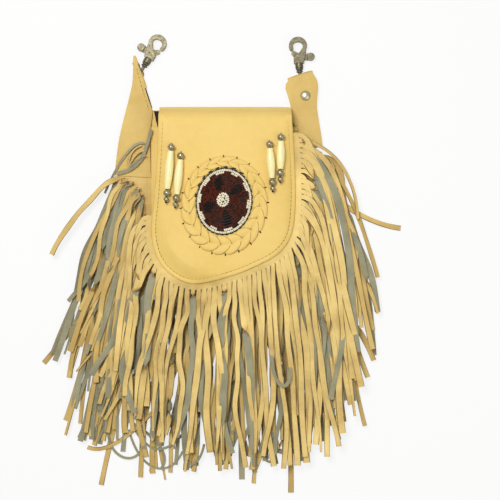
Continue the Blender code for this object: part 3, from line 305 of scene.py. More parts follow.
# %% Camera
LENS = 100.0
SENSOR = 36.0
VIEW_WIDTH = 0.500
VIEW_CENTRE = (0.026, -0.055)
VIEW_LEVEL = 0.015
camera_data = bpy.data.cameras.new("overhead_camera")
camera_data.lens = LENS
camera_data.sensor_width = SENSOR
camera = put_in_scene("overhead_camera", camera_data)
camera.location = (*VIEW_CENTRE, VIEW_LEVEL + VIEW_WIDTH * LENS / SENSOR)
bpy.context.scene.camera = camera

# %% [markdown]
# The light is a large soft sheet above the clips and a dim white surround, so the folds are shaded
# gently and the metal has something to mirror. The table keeps the bag's shadow, and shows almost white.

# %% Light and table
bpy.context.scene.view_settings.view_transform = "Standard"
world = bpy.data.worlds.new("soft_surround")
world.use_nodes = True
bpy.context.scene.world = world
sky = world.node_tree.nodes["Background"]
sky.inputs["Color"].default_value = (1.0, 0.99, 0.97, 1.0)
sky.inputs["Strength"].default_value = 0.30


def soft_light(name, place, aim, size, watts):
    """A square lamp that looks from its place towards an aim."""
    data = bpy.data.lights.new(name, "AREA")
    data.size = size
    data.energy = watts
    lamp = put_in_scene(name, data)
    lamp.location = place
    lamp.rotation_euler = (Vector(aim) - Vector(place)).to_track_quat("-Z", "Y").to_euler()


BAG_MIDDLE = (0, -0.08, 0)
soft_light("top_softbox", (-0.28, 0.34, 1.30), BAG_MIDDLE, 0.5, 12.8)
soft_light("side_fill", (0.90, -0.50, 1.10), BAG_MIDDLE, 0.9, 4.0)


def table_look():
    """Matt white that also glows towards the camera and reflections, and so shows almost white itself."""
    look, tree, shader = new_look("matt_white_table")
    shader.inputs["Base Color"].default_value = linear("#F4F4F2")
    shader.inputs["Roughness"].default_value = 0.9
    rays = add(tree, "ShaderNodeLightPath").outputs
    seen = rays["Is Camera Ray"]
    for kind in ("Is Glossy Ray", "Is Transmission Ray"):
        seen = add(tree, "ShaderNodeMath", {0: seen, 1: rays[kind]}, operation="MAXIMUM").outputs[0]
    glow = add(tree, "ShaderNodeEmission", {"Color": (1, 1, 1, 1), "Strength": 1.0})
    sockets = {0: times(tree, seen, 0.80), 1: shader.outputs[0], 2: glow.outputs[0]}
    mixed = add(tree, "ShaderNodeMixShader", sockets)
    tree.links.new(mixed.outputs[0], tree.nodes["Material Output"].inputs["Surface"])
    return look


TABLE_HALF = 6.0
corners = np.array([[[-1, -1, 0], [1, -1, 0]], [[-1, 1, 0], [1, 1, 0]]]) * TABLE_HALF
table_mesh = bpy.data.meshes.new("table_top")
table_mesh.from_pydata(corners.reshape(-1, 3), [], quads(corners).tolist())
table_mesh.materials.append(table_look())
table = put_in_scene("table_top", table_mesh)

# %% [markdown]
# All heights of the leather come from a few of the model's own nodes. The flap lies flat over the full
# pouch, droops towards the side seams and rolls down over the mouth at its top.

# %% Heights taken from the frame
LEATHER = 1.6 * MM
GAP = 0.3 * MM
flap_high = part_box("flap")[1]
FLAP_FACE = flap_high.z
FLAP_UNDER = FLAP_FACE - LEATHER
FLAP_TOP = flap_high.y
POUCH_HALF = 73.5 * MM
POUCH_MOUTH = 69 * MM
POUCH_SIDE_END = -30 * MM
POUCH_BOTTOM = -94 * MM
POCKET_MOUTH = 55 * MM
DROOP = 5.5 * MM
DROOP_RUN = 16 * MM
FOLD_RUN = 9.5 * MM
FLAP_SEAM_Z = 12.9 * MM  # the flap's underside where its roll meets the back's turned-up edge
print("flap face, mm:", round(FLAP_FACE / MM, 1))


def pouch_inset(x, y):
    """Distance inside the pouch's U outline: from its sides, or about that from its half-ellipse foot."""
    depth = POUCH_SIDE_END - POUCH_BOTTOM
    below = np.minimum(y - POUCH_SIDE_END, 0.0)
    reach = np.sqrt((x / POUCH_HALF) ** 2 + (below / depth) ** 2) + 1e-9
    slope = np.sqrt((x / POUCH_HALF ** 2) ** 2 + (below / depth ** 2) ** 2) / reach + 1e-9
    return (1 - reach) / slope


def flap_level(x, y):
    """Underside of the flap: level, less a droop near the seams, less the roll at its top."""
    droop = DROOP * (1 - ease(pouch_inset(x, y) / DROOP_RUN))
    droop = droop * (1 - ease((y - POCKET_MOUTH) / (FLAP_TOP - POCKET_MOUTH - FOLD_RUN)))
    roll = ease((y - FLAP_TOP + FOLD_RUN) / FOLD_RUN)
    return FLAP_UNDER - droop - (FLAP_UNDER - droop - FLAP_SEAM_Z) * roll


def smooth_line(points, count):
    """Even points on a Catmull-Rom curve through given ones in millimetres, and its length."""
    p = np.asarray(points, float) * MM
    ends = np.concatenate([p[:1], p, p[-1:]])
    t = np.linspace(0, 1, 24, endpoint=False)[None, :, None]
    a, b, c, d = (ends[i:len(ends) - 3 + i][:, None, :] for i in range(4))
    fine = 0.5 * (2 * b + (c - a) * t + (2 * a - 5 * b + 4 * c - d) * t ** 2
                  + (3 * b - a - 3 * c + d) * t ** 3)
    fine = np.concatenate([fine.reshape(-1, p.shape[1]), p[-1:]])
    length = run_along(fine)[-1]
    return sample(fine, np.linspace(0, length, count)), length


def sample(line, distance):
    """Points of an even polyline at distances along it."""
    run = run_along(line)
    return np.stack([np.interp(distance, run, line[:, k]) for k in range(line.shape[1])], -1)


def outward_of(line, distance):
    """Unit direction square to a polyline, on its right-hand side, at distances along it."""
    step = 1.5 * MM
    return -leftward(unit(sample(line, distance + step) - sample(line, distance - step)))

# %% [markdown]
# The fringe is a band of the same leather, slit into strands about 5 mm wide. A soft strand never lies
# flat for long: it swings out from its slit, bends downwards, wavers, and here and there rolls over to
# show its grey flesh side. Each strand is a thin section carried along a cubic curve while it rolls.

# %% One row of strands
STRAND_WIDE = 5.4 * MM
STRAND_THICK = 1.1 * MM
STATIONS = 44
ROOT_TUCK = 1.2 * MM  # how far a root reaches into its band
PILE_MM = 5.5  # how much higher the top strands of a row settle than its lowest
RIPPLE = 1.5 * MM  # waves up and down
ROLL_RISE_MM = 2.2  # how far a strand lifts while it turns over
TABLE_CLEAR = 0.9 * MM  # lowest path of a strand that lies flat
EDGE_REACH = 2.3 * MM  # added to that when it stands on its edge
NARROWED = 0.22  # share of strands with a narrow tip
FRONT_FACES = 3
SECTION_ACROSS = np.array([-0.84, -0.38, 0.38, 0.84, 1, 0.38, -0.38, -1]) / 2
SECTION_UP = np.array([1, 1, 1, 1, -1, -1, -1, -1]) / 2
SECTION_CUP = 1 - (2 * SECTION_ACROSS) ** 2
TIP_CAPS = np.array([[0, 7, 6, 1], [1, 6, 5, 2], [2, 5, 4, 3]])


def cubic(a, b, c, d, t):
    """A cubic curve: four points weighted by (1-t)^3, 3t(1-t)^2, 3t^2(1-t) and t^3."""
    return (1 - t) ** 3 * a + 3 * t * (1 - t) ** 2 * b + 3 * t ** 2 * (1 - t) * c + t ** 3 * d


def carried_section(path, roll, wide, thick, cup):
    """Carry the strand's section along paths: its corners lie across and above each point, then roll."""
    ahead = unit(np.gradient(path, axis=1))
    side = np.stack([-ahead[..., 1], ahead[..., 0], np.zeros_like(ahead[..., 0])], -1)
    side /= np.linalg.norm(side, axis=-1, keepdims=True) + 1e-9
    up = np.cross(ahead, side)
    turn = roll[..., None]
    across = np.cos(turn) * side + np.sin(turn) * up
    normal = np.cos(turn) * up - np.sin(turn) * side
    rise = SECTION_UP * thick + cup[..., None] * SECTION_CUP
    return (path[..., None, :] + across[..., None, :] * (SECTION_ACROSS * wide[..., None])[..., None]
            + normal[..., None, :] * rise[..., None])


def strand_patches(points):
    """Patches of carried sections: the grain side, the cut edges with the tip, and the flesh side."""
    faces = quads(points, close_columns=True)
    copies, rows, columns = points.shape[:3]
    side = np.tile(np.arange(columns), copies * (rows - 1))
    last = (np.arange(copies) * rows + rows - 1) * columns
    caps = (last[:, None, None] + TIP_CAPS).reshape(-1, 4)
    edges = (side == FRONT_FACES) | (side == columns - 1)
    return shared_patches(points, faces[side < FRONT_FACES], np.concatenate([faces[edges], caps]),
                          faces[(side > FRONT_FACES) & ~edges])


def chances(seed, count):
    """A row's own random generator, and two kinds of draw from it that give one value for each strand."""
    draw = np.random.default_rng(seed)

    def each(low, high):
        """An even draw between two limits."""
        return draw.uniform(low, high, (count, 1))

    def some(share):
        """One for the strands of a random choice, else nought."""
        return (draw.random((count, 1)) < share) * 1.0

    return draw, each, some


def strand_tips(luck, root, swing, depth, scatter, wander, flung):
    """Where each strand ends in plan, and how freely it waves: 1, or 0.2 where the tip is given.

    The tips' depth runs from the row's ends to its middle as the sine of a quarter turn.
    """
    draw, each, some = luck
    count = len(root)
    share = np.arange(count) / (count - 1)
    end_y = np.where(share < 0.5, depth[0], depth[2]) * MM
    hanging = np.sin((1 - np.abs(2 * share - 1)) * math.pi / 2)
    tip = np.stack([root[:, 0] + (swing[0] + (swing[1] - swing[0]) * share) * MM,
                    end_y + (depth[1] * MM - end_y) * hanging], -1)
    tip[:, 1] += (1.5 * draw.random(count) ** 2 - 0.3) * scatter
    tip[:, 0] += draw.normal(0, 1, count) * wander + (some(0.2) * each(-20, 20))[:, 0] * MM
    calm = np.ones((count, 1))
    for number, place in flung.items():
        tip[number] = np.array(place) * MM
        calm[number] = 0.2
    return tip, calm


def strand_plans(luck, root, out, tip, calm, t, leave, slant):
    """Each strand's path in plan: a cubic from slit to tip, with waves square to it and some bent tips."""
    draw, each, some = luck
    count = len(root)
    span = np.linalg.norm(tip - root, axis=1)
    aside = tip[:, 0] - root[:, 0]
    lead = np.stack([aside * (each(0.55, 1.0)[:, 0] - slant) * np.abs(out[:, 0]),
                     out[:, 1] * span * leave], -1)
    drop = np.stack([draw.normal(0, 6 * MM, count) - aside * slant,
                     span * draw.uniform(0.34, 0.56, count)], -1)
    plan = cubic(root[:, None], (root + lead)[:, None], (tip + drop)[:, None], tip[:, None], t[None, :, None])
    square = unit(leftward(np.gradient(plan, axis=1)))
    waves = each(0.5, 1.5) * t + each(0, 1)
    sway = (each(0.8, 4.2) * np.sin(TURN * waves) * ease(t / 0.4)
            + each(0.3, 1.1) * np.sin(TURN * (waves * 2.9)) * ease(t / 0.2)
            + some(0.42) * each(-20, 20) * ease((t - 0.66) / 0.4) ** 2) * MM
    return plan + square * (sway * calm)[..., None], waves


def strand_rolls(luck, t, calm, rolled, early, twist):
    """How far each strand turns over about its path, and that with its small tilts to and fro, in radians.

    A strand that turns over does so near its root or further down, and some turn back towards the tip.
    """
    draw, each, some = luck
    rolls = some(rolled) * (calm == 1)
    at = np.where(some(early) > 0, each(0.02, 0.14), each(0.25, 0.80))
    over = math.pi * ease((t - at) / each(0.05, 0.12)) * rolls
    back = np.where(some(0.3) > 0, each(0.50, 0.85), 2.0)
    over = over - math.pi * ease((t - back) / 0.10) * rolls * (over > 0)
    tilt = twist * each(0.08, 0.50) * np.sin(TURN * (each(0.8, 2.4) * t + each(0, 1))) * ease(t / 0.12)
    return over, draw.choice([-1.0, 1.0], (len(calm), 1)) * over + tilt


def strand_widths(luck, seed, t, calm, away, waves, slit_wide, broad):
    """Each strand's width: as slit at its root, then its own, and narrowing to the tip in some."""
    _, each, _ = luck
    strand = each(0.78, 1.18) * STRAND_WIDE * broad
    wide = strand + (slit_wide - strand) * (1 - ease(away / (11 * MM)))
    wide = wide * (1 + 0.06 * np.sin(TURN * (2.3 * t + waves)))
    cut = np.random.default_rng(seed + 500)
    narrow = (cut.random(calm.shape) < NARROWED) * cut.uniform(0.3, 0.65, calm.shape) * (calm == 1)
    return wide * (1 - narrow * ease((t - 0.72) / 0.28))


def fringe_row(name, seam_points, count, swing, depth, base, far, seed, body, leave=0.25, header=5 * MM,
               inner=0.5 * MM, settle=20 * MM, rolled=0.35, flung=None, scatter=24 * MM, wander=6 * MM,
               slant=0.12, early=0.6, extra=(), painted_row_shade=0.3, slit=0.88, twist=1.0, broad=1.0):
    """A sewn band and its strands.

    swing says how far the first and last tips lie to the side of their roots, and depth the y of the
    first, middle and last tips, in mm. base(x, y) is the height at the seam, and far the height in mm of a
    strand that has run settle away from it. header is how far the band shows, and inner how far it is
    tucked in. leave and slant bend the paths near the seam and above the tips. scatter and wander spread
    the tips down and sideways, and flung places some at given points. rolled is the share of strands that
    turn over, early the share of those that do so near the root, and twist scales the tilts.
    painted_row_shade darkens the leather as painted shade for rows that lie under others, slit is a strand's
    share of its spacing at the root, broad scales its width beyond, and extra lists strands given one by one.
    """
    luck = chances(seed, count)
    draw, each, _ = luck
    seam, length = smooth_line(seam_points, 200)
    pitch = length / count
    middle = (np.arange(count) + 0.5) * pitch
    out = outward_of(seam, middle)
    root = sample(seam, middle) + out * (header - ROOT_TUCK)
    t = np.linspace(0, 1, STATIONS) ** 1.15
    tip, calm = strand_tips(luck, root, swing, depth, scatter, wander, flung or {})
    plan, waves = strand_plans(luck, root, out, tip, calm, t, leave, slant)
    away = np.linalg.norm(plan - root[:, None], axis=-1)
    start = base(root[:, 0], root[:, 1])[:, None]
    level = draw.permutation(np.linspace(0, 1, count))[:, None] * PILE_MM * MM
    height = start + (far * MM - start + level) * ease(away / settle)
    height = height + RIPPLE * np.sin(TURN * (each(1.2, 3.0) * t + each(0, 1))) * ease(away / (20 * MM))
    over, roll = strand_rolls(luck, t, calm, rolled, early, twist)
    height = np.maximum(height + np.abs(np.sin(over)) * ROLL_RISE_MM * MM,
                        TABLE_CLEAR + EDGE_REACH * np.abs(np.sin(roll)))
    wide = strand_widths(luck, seed, t, calm, away, waves, pitch * slit, broad)
    cup = each(-0.5, 0.6) * MM * ease(t / 0.2) * np.ones_like(wide)
    path = raised(plan, height)
    if len(extra):
        path, roll, wide, cup = with_loose(extra, t, path, roll, wide, cup)
    strands = carried_section(path, roll, wide, STRAND_THICK, cup)
    band = band_points(seam, header, inner, base)
    # Strands of lower rows are darker: painted shade for the shade under the rows above, mixed with a random
    # tone for each strand.
    shade = np.minimum(1, painted_row_shade + (0.3 + painted_row_shade) * draw.random(len(path)) ** 2)
    tint = np.concatenate([np.repeat(shade, STATIONS * len(SECTION_UP)), np.full(band.size // 3, painted_row_shade)])
    return make_piece(name + "_strands", [*strand_patches(strands), ringed(band)],
                      (STRAND_GRAIN, CUT_EDGE_WITH_SHADE, SUEDE), body, (name,), 50,
                      values={"strand_tint": tint})


def with_loose(extra, t, path, roll, wide, cup):
    """Add listed strands: a cubic's four points in plan, heights at its ends, width, turned or not."""
    laid = np.array([np.ravel(points) for points, *_ in extra]).reshape(-1, 4, 1, 2) * MM
    plan = cubic(*laid.transpose(1, 0, 2, 3), t[None, :, None])
    ends = np.array([heights for _, heights, *_ in extra]) * MM
    high = ends[:, :1] + (ends[:, 1:] - ends[:, :1]) * ease(t)
    size = np.array([width for *_, width, _ in extra])[:, None] * MM * np.ones_like(t)
    turned = np.array([over for *_, over in extra])[:, None] * math.pi + 0.35 * np.sin(TURN * t)
    more = raised(plan, high)
    return (np.concatenate([path, more]), np.concatenate([roll, turned]), np.concatenate([wide, size]),
            np.concatenate([cup, 0.2 * MM * np.ones_like(size)]))


def band_points(seam, header, inner, base):
    """The uncut band of a fringe: a thin section along the seam, from its tucked edge to its slits."""
    run = np.linspace(0, np.linalg.norm(np.diff(seam, axis=0), axis=1).sum(), 160)
    out = outward_of(seam, run)
    over = [-inner, 0.35 * header, 0.8 * header, header]
    reach = np.array([*over, *over[::-1]])
    plan = sample(seam, run)[:, None] + out[:, None] * reach[None, :, None]
    level = base(plan[..., 0], plan[..., 1]) + SECTION_UP * STRAND_THICK * 0.98
    return raised(plan, level)[None]


# %% [markdown]
# Six rows hide one another: a rear and a front one at the bag's foot and at each side. The flap's own fringe
# lies on top of them all. Their seams and reaches repeat those of the solids they stand for. A few strands
# stand out in the photograph as loops or strays, and these are listed one by one: four points of a curve in
# plan, the heights at its ends, its width, all in mm, and 1 where the grey side is up.

# %% The seven fringes
REAR_LEVEL = 2.3 * MM
FRONT_LEVEL = 3.4 * MM
LEFT_SEAM = [(-101, 24), (-89, 17), (-79, 8), (-74.2, -3), (-73.5, -30), (-70.5, -48)]
RIGHT_SEAM = [(71.5, -45), (73.5, -30), (73.5, 5), (76.1, 22), (84.5, 35), (98, 44)]
angle = np.linspace(math.radians(20), math.radians(160), 40)  # the pouch's half-ellipse foot
BOWL = np.stack([-73.5 * np.cos(angle), -30 - 64 * np.sin(angle)], -1)


def rear(x, y):
    """Seam height of the rear rows."""
    return np.full(np.shape(x), REAR_LEVEL)


def front(x, y):
    """Seam height of the front rows."""
    return np.full(np.shape(x), FRONT_LEVEL)


def under_flap(x, y):
    """Seam height of the flap's fringe: its band hangs against the flap's underside."""
    return flap_level(x, y) - 0.55 * STRAND_THICK - 0.3 * MM


LOOPS = ((((-104, -200), (-86, -262), (-62, -268), (-40, -238)), (5.0, 5.0), 2.6, 1),
         (((-96, -236), (-84, -284), (-52, -284), (-42, -258)), (3.5, 4.0), 2.4, 1),
         (((-112, -222), (-128, -252), (-98, -278), (-84, -258)), (4.5, 3.5), 2.8, 1),
         (((-100, -225), (-70, -240), (-52, -262), (-64, -276)), (6.5, 2.6), 3.0, 1),
         (((-60, -205), (-96, -245), (-120, -262), (-138, -254)), (7.0, 2.6), 4.2, 0))
LOW_LOOPS = ((((-6, -232), (-20, -276), (14, -282), (8, -236)), (9.0, 9.0), 3.4, 1),
             (((34, -240), (38, -282), (58, -270), (50, -244)), (9.0, 9.0), 2.6, 1),
             (((-30, -236), (-52, -272), (-26, -284), (-20, -250)), (9.0, 9.0), 2.6, 1),
             (((50, -238), (46, -262), (60, -259), (82, -256)), (10.0, 6.0), 5.0, 1))
FLAP_LOOP = ((((47, -160), (50, -198), (68, -198), (66, -172)), (22.0, 21.0), 3.6, 1),)
FAR_RIGHT = ((((76, 30), (104, -2), (141, -28), (178, -33)), (14.0, 2.6), 5.4, 0),
             (((88, 50), (112, 10), (128, -28), (149, -82)), (16.0, 2.6), 3.2, 1),
             (((82, 54), (120, 44), (134, 4), (134, -24)), (17.0, 12.0), 3.4, 0))
fringe_row("bottom_fringe_rear", BOWL, 56, (-44, 22), (-236, -284, -230), rear, 1.0, 31, "bag", rolled=0.5,
           scatter=30 * MM, wander=11 * MM, painted_row_shade=0.5, extra=LOOPS,
           flung={6: (-124, -292), 15: (-84, -284), 20: (-74, -279), 27: (-38, -277), 34: (28, -280),
                  44: (68, -300)})
fringe_row("left_side_fringe_rear", LEFT_SEAM, 38, (-66, -44), (-138, -236, -250), rear, 4.0, 32, "bag",
           leave=0.0, rolled=0.85, early=0.85, inner=12 * MM, wander=10 * MM, slant=0.38, painted_row_shade=0.4,
           flung={9: (-160, -227), 15: (-157, -183), 25: (-131, -252)})
fringe_row("right_side_fringe_rear", RIGHT_SEAM, 38, (22, 50), (-236, -200, -136), rear, 4.0, 33, "bag",
           leave=0.0, rolled=0.8, early=0.8, wander=10 * MM, slant=0.28, painted_row_shade=0.45,
           flung={34: (151, -83), 20: (142, -232)})
fringe_row("bottom_fringe_front", BOWL, 46, (-26, 14), (-228, -268, -224), front, 8.0, 34, "bag", rolled=0.40,
           scatter=32 * MM, wander=8 * MM, painted_row_shade=0.4, extra=LOW_LOOPS)
ON_TAB = ((((-80, 52), (-92, 57), (-111, 26), (-120, 2)), (8.5, 6.0), 2.4, 1),
          (((-73, 66), (-79, 44), (-82, 26), (-108, 22)), (9.5, 9.0), 3.6, 1),
          (((-83, 50), (-93, 47), (-98, 36), (-95, 27)), (8.5, 8.5), 1.9, 0),
          (((-80, 45), (-89, 43), (-94, 34), (-96, 28)), (9.5, 9.0), 1.9, 0),
          (((-78, 40), (-84, 38), (-90, 33), (-95, 29)), (10.5, 10.0), 1.7, 1),
          (((-106, -62), (-126, -104), (-150, -132), (-182, -169)), (16.0, 2.5), 5.2, 0))
fringe_row("left_side_fringe_front", LEFT_SEAM, 30, (-58, -34), (-112, -186, -220), front, 10.5, 35, "bag",
           leave=0.0, rolled=0.6, early=0.8, inner=12 * MM, wander=9 * MM, slant=0.38, painted_row_shade=0.35,
           flung={1: (-172, -60), 14: (-139, -238)}, extra=ON_TAB)
fringe_row("right_side_fringe_front", RIGHT_SEAM, 27, (14, 44), (-214, -184, -105), front, 10.5, 36, "bag",
           leave=0.0, rolled=0.6, early=0.3, wander=10 * MM, slant=0.25, flung={20: (149, -154)},
           extra=FAR_RIGHT, slit=0.84, painted_row_shade=0.38)

# %% [markdown]
# The flap's outline is kept from the photograph: nearly straight sides and a round foot whose lowest
# point lies left of the middle. The same outline gives the flap's edge, its stitches and its fringe.

# %% Outline of the flap
FLAP_EDGE = [(-64.5, 88), (-66, 45), (-69, 0), (-72, -36), (-66.5, -62), (-52, -80), (-29, -88.6), (5, -81.5),
             (33, -70.5), (54.6, -58), (67.3, -39), (71.3, -5), (70, 40), (66.8, 88)]
flap_edge, flap_run = smooth_line(FLAP_EDGE, 400)
lowest = int(np.argmin(flap_edge[:, 1]))
left_start = int(np.argmax(flap_edge[:lowest, 1] < -20 * MM))
right_stop = lowest + int(np.argmax(flap_edge[lowest:, 1] > 64 * MM))
FLAP_SEAM_LINE = flap_edge[left_start:right_stop] / MM
fringe_row("flap_fringe", FLAP_SEAM_LINE[::6], 60, (-36, 60), (-176, -270, -165), under_flap, 14.0, 37,
           "flap", header=6.0 * MM, settle=60 * MM, rolled=0.24, early=0.35, scatter=16 * MM, wander=5 * MM,
           slant=0.2, twist=0.5, flung={42: (85, -257), 59: (128, -140)}, painted_row_shade=0.0, slit=0.92, broad=1.15,
           extra=FLAP_LOOP)

# %% [markdown]
# The flap is one piece of leather whose edge is rolled and sewn. It is modelled as rings of points that
# step inwards from its outline: over the face, round the edge and back under. The line of stitches
# presses a shallow channel 4.5 mm inside the edge, and the soft leather between is slightly puffed.

# %% Flap
FLAP_MIDDLE = np.array([0.0, -4.0]) * MM
TO_MIDDLE = 60
MIDDLE_SHARE = 0.02
WELD = 0.05 * MM
OUTLINE_POINTS = 420
EDGE_PROFILE = np.array([
    [60, 1.60], [30, 1.60], [16, 1.61], [9, 1.63], [6.6, 1.62], [5.3, 1.55], [4.5, 1.42], [3.8, 1.52],
    [2.8, 1.66], [1.7, 1.68], [0.8, 1.58], [0.25, 1.35], [0.0, 0.85], [0.25, 0.40], [0.9, 0.10], [3.0, 0.0],
    [12, 0.0], [60, 0.0]])


def stepped_rings(edge, middle, profile, level):
    """Rings inside an outline: each profile row is (distance in from the edge, height above a level), in mm.

    A row of distance TO_MIDDLE shrinks to a point in the middle, where welding closes the face.
    """
    ray = edge - middle
    far = np.linalg.norm(ray, axis=1)
    share = np.clip(1 - profile[:, 0, None] * MM / far, MIDDLE_SHARE, 1)
    share[profile[:, 0] >= TO_MIDDLE] = MIDDLE_SHARE
    plan = middle + share[..., None] * ray
    height = level(plan[..., 0], plan[..., 1]) + profile[:, 1, None] * MM
    return raised(plan, height)


def ringed_piece(name, rings, look, body, node, smooth, merge):
    """A piece that is one patch of rings, welded shut in the middle of both its faces."""
    return make_piece(name, [ringed(rings[None])], (look,), body, (node,), smooth, merge=merge)


def refine_profile(profile, reach, steps):
    """Add evenly stepped inner rings to a profile, so that a wide face can follow its level."""
    inner = np.linspace(reach, 16, steps)[:, None]
    face = np.concatenate([inner, np.full_like(inner, profile[1, 1])], 1)
    under = np.concatenate([inner[::-1], np.zeros_like(inner)], 1)
    return np.concatenate([profile[:1], face, profile[2:-1], under, profile[-1:]])


def soft_flap_level(x, y):
    """The flap's level with the faint waves of soft leather that has been carried."""
    wave = (np.sin(x / (21 * MM) + 0.6) * np.sin(y / (27 * MM) + 1.1)
            + 0.5 * np.sin(x / (11 * MM) - y / (15 * MM)))
    wave = 0.25 * MM * wave * ease(pouch_inset(x, y) / (12 * MM)) * ease((74 * MM - y) / (20 * MM))
    return flap_level(x, y) + wave


def closed_outline(points, count):
    """An even, closed polyline through given corners in millimetres, in straight runs."""
    p = np.asarray(points, float) * MM
    p = np.concatenate([p, p[:1]])
    return sample(p, np.linspace(0, run_along(p)[-1], count, endpoint=False))


flap_outline = closed_outline(flap_edge / MM, OUTLINE_POINTS)
flap_rings = stepped_rings(flap_outline, FLAP_MIDDLE, refine_profile(EDGE_PROFILE, 56, 26), soft_flap_level)
ringed_piece("flap_leather", flap_rings, GRAIN, "flap", "flap", 60, WELD)

# %% [markdown]
# Stitches are waxed thread in the leather's own colour. Each one is a short sausage that lies in the
# channel, with a pricked hole at either end, drawn as a dark sausage of painted shade. There are hundreds, so
# each has only a few faces.

# %% Stitches
def thread_look(name, base, dark):
    """Waxed thread: twisted strands, about 0.4 mm apart, along an even colour."""
    look, tree, shader = new_look(name)
    twist = noise(tree, object_place(tree), 0.5, 2.0)
    dress(tree, shader, blend_colours(tree, twist, dark, base), twist, 0.4, 0.1, Roughness=0.6)
    return look


THREAD = thread_look("waxed_tan_thread", "#D9B768", "#B8924A")
# Dark brown for the pricked holes, the wreath's slits and the gaps by the rosette's rim: painted shade in
# these openings.
HOLE_SHADE = thread_look("painted_shade_in_holes_and_slits", "#4A3416", "#2E2010")
STITCH_LONG = 3.0 * MM
STITCH_PITCH = 4.3 * MM
STITCH_HALF_THICK = 0.42 * MM
HOLE_HALF_LONG = 0.70 * MM
HOLE_HALF_WIDE = 0.50 * MM


def sausages(centres, along, half_long, radius, lift):
    """Capsules of 6 by 5 points: rings whose radius falls to nothing at both ends of each centre line."""
    s = np.array([-1, -0.75, 0, 0.75, 1.0])
    thin = np.array([0.05, 0.75, 1.0, 0.75, 0.05]) * radius
    turn = np.linspace(0, TURN, 6, endpoint=False)
    side = leftward(along)
    plan = (centres[:, None, None, :2] + along[:, None, None] * (s * half_long)[None, :, None, None]
            + side[:, None, None] * (thin[:, None] * np.cos(turn))[None, ..., None])
    up = centres[:, 2, None, None] + lift + thin[:, None] * np.sin(turn) * np.ones((len(centres), 1, 1))
    return raised(plan, up)


def seam_stitches(name, line, inset, level, lift, body, start=0.0, stop=None):
    """Stitches at an even pitch along a line, a distance to its left."""
    total = np.linalg.norm(np.diff(line, axis=0), axis=1).sum()
    at = np.arange(start + STITCH_PITCH, (stop or total) - STITCH_PITCH / 2, STITCH_PITCH)
    out = outward_of(line, at)
    plan = sample(line, at) - out * inset
    along = leftward(out)
    centres = raised(plan, level(plan[:, 0], plan[:, 1]))
    threads = sausages(centres, along, STITCH_LONG / 2, STITCH_HALF_THICK, lift)
    ends = centres.copy()
    ends[:, :2] += along * STITCH_PITCH / 2
    # Each hole is a dark sausage a little below the thread: painted shade.
    holes = sausages(ends, along, HOLE_HALF_LONG, HOLE_HALF_WIDE, lift - 0.10 * MM)
    patches = [ringed(threads), ringed(holes, 1)]
    return make_piece(name, patches, (THREAD, HOLE_SHADE), body)


seam_stitches("flap_stitches", flap_edge, 4.5 * MM, soft_flap_level, 1.30 * MM, "flap", 12 * MM,
              flap_run - 12 * MM)

# %% [markdown]
# Round the rosette the leather is slit into a ring of narrow loops, and each loop is pulled through its
# neighbour. That makes a wreath of overlapping leaves which swirl clockwise: an outer row that points
# outwards, and an inner row that leans the other way. Every leaf lifts on one side and tucks under on the
# other.

# %% Braided wreath
LEAVES = 20
WREATH_MIDDLE = np.array([0.7, -11.0]) * MM
WREATH_OUTER = np.array([43.0, 49.0]) * MM
ROSETTE_MIDDLE = np.array([0.5, -7.0]) * MM
ROSETTE_HALF = np.array([26.9, 32.3]) * MM
TILT = math.radians(-8)
LEAF_BASE = FLAP_FACE + 0.25 * MM


def on_oval(middle, half, angle):
    """A point on a tilted oval."""
    x, y = half[0] * np.cos(angle), half[1] * np.sin(angle)
    return np.stack([middle[0] + x * math.cos(TILT) - y * math.sin(TILT),
                     middle[1] + x * math.sin(TILT) + y * math.cos(TILT)], -1)


def ring_point(angle, share):
    """A point between the rosette's rim, share 0, and the wreath's outer tips, share 1."""
    inner = on_oval(ROSETTE_MIDDLE, ROSETTE_HALF + 1.5 * MM, angle)
    outer = on_oval(WREATH_MIDDLE, WREATH_OUTER, angle)
    return inner + (outer - inner) * np.asarray(share)[..., None]


def leaves(start, stop, sweep, wide, lift, low):
    """Leaves along swirling midlines: a leaf widens from its root, and its tip is half an ellipse.

    Across the leaf its height climbs from a tucked edge to a free edge and rolls over at the free edge.
    """
    leaf = np.arange(LEAVES)[:, None, None] / LEAVES * TURN
    s = np.linspace(0, 1, 15)[None, :, None]
    v = np.array([-1, -0.9, -0.6, -0.2, 0.2, 0.6, 0.84, 0.92, 1.0])[None, None, :]
    rounded_tip = np.sqrt(np.clip(1 - ((s - 0.55) / 0.45) ** 2, 0, 1))
    body = np.where(s < 0.55, 0.55 + 0.45 * ease(s / 0.55), rounded_tip)
    angle = leaf + sweep * s ** 0.85 + wide * v * body
    share = start + (stop - start) * s + 0.0 * v
    plan = ring_point(angle, share)
    curl = (lift * (0.5 + 0.5 * v) * body + 0.5 * MM * (1 - v ** 2) * body
            - 0.9 * MM * np.clip(v - 0.84, 0, 1) * 6)
    height = low + curl + 0.7 * MM * np.sin(math.pi * s) - 0.5 * MM * ease((s - 0.85) / 0.15) + 0.0 * leaf
    return raised(plan, height)


step_angle = TURN / LEAVES
outer_leaves = leaves(0.34, 1.0, -1.15 * step_angle, 0.54 * step_angle, 1.3 * MM, LEAF_BASE + 0.4 * MM)
inner_leaves = leaves(0.60, -0.02, -0.85 * step_angle, 0.58 * step_angle, 1.1 * MM, LEAF_BASE + 1.0 * MM)
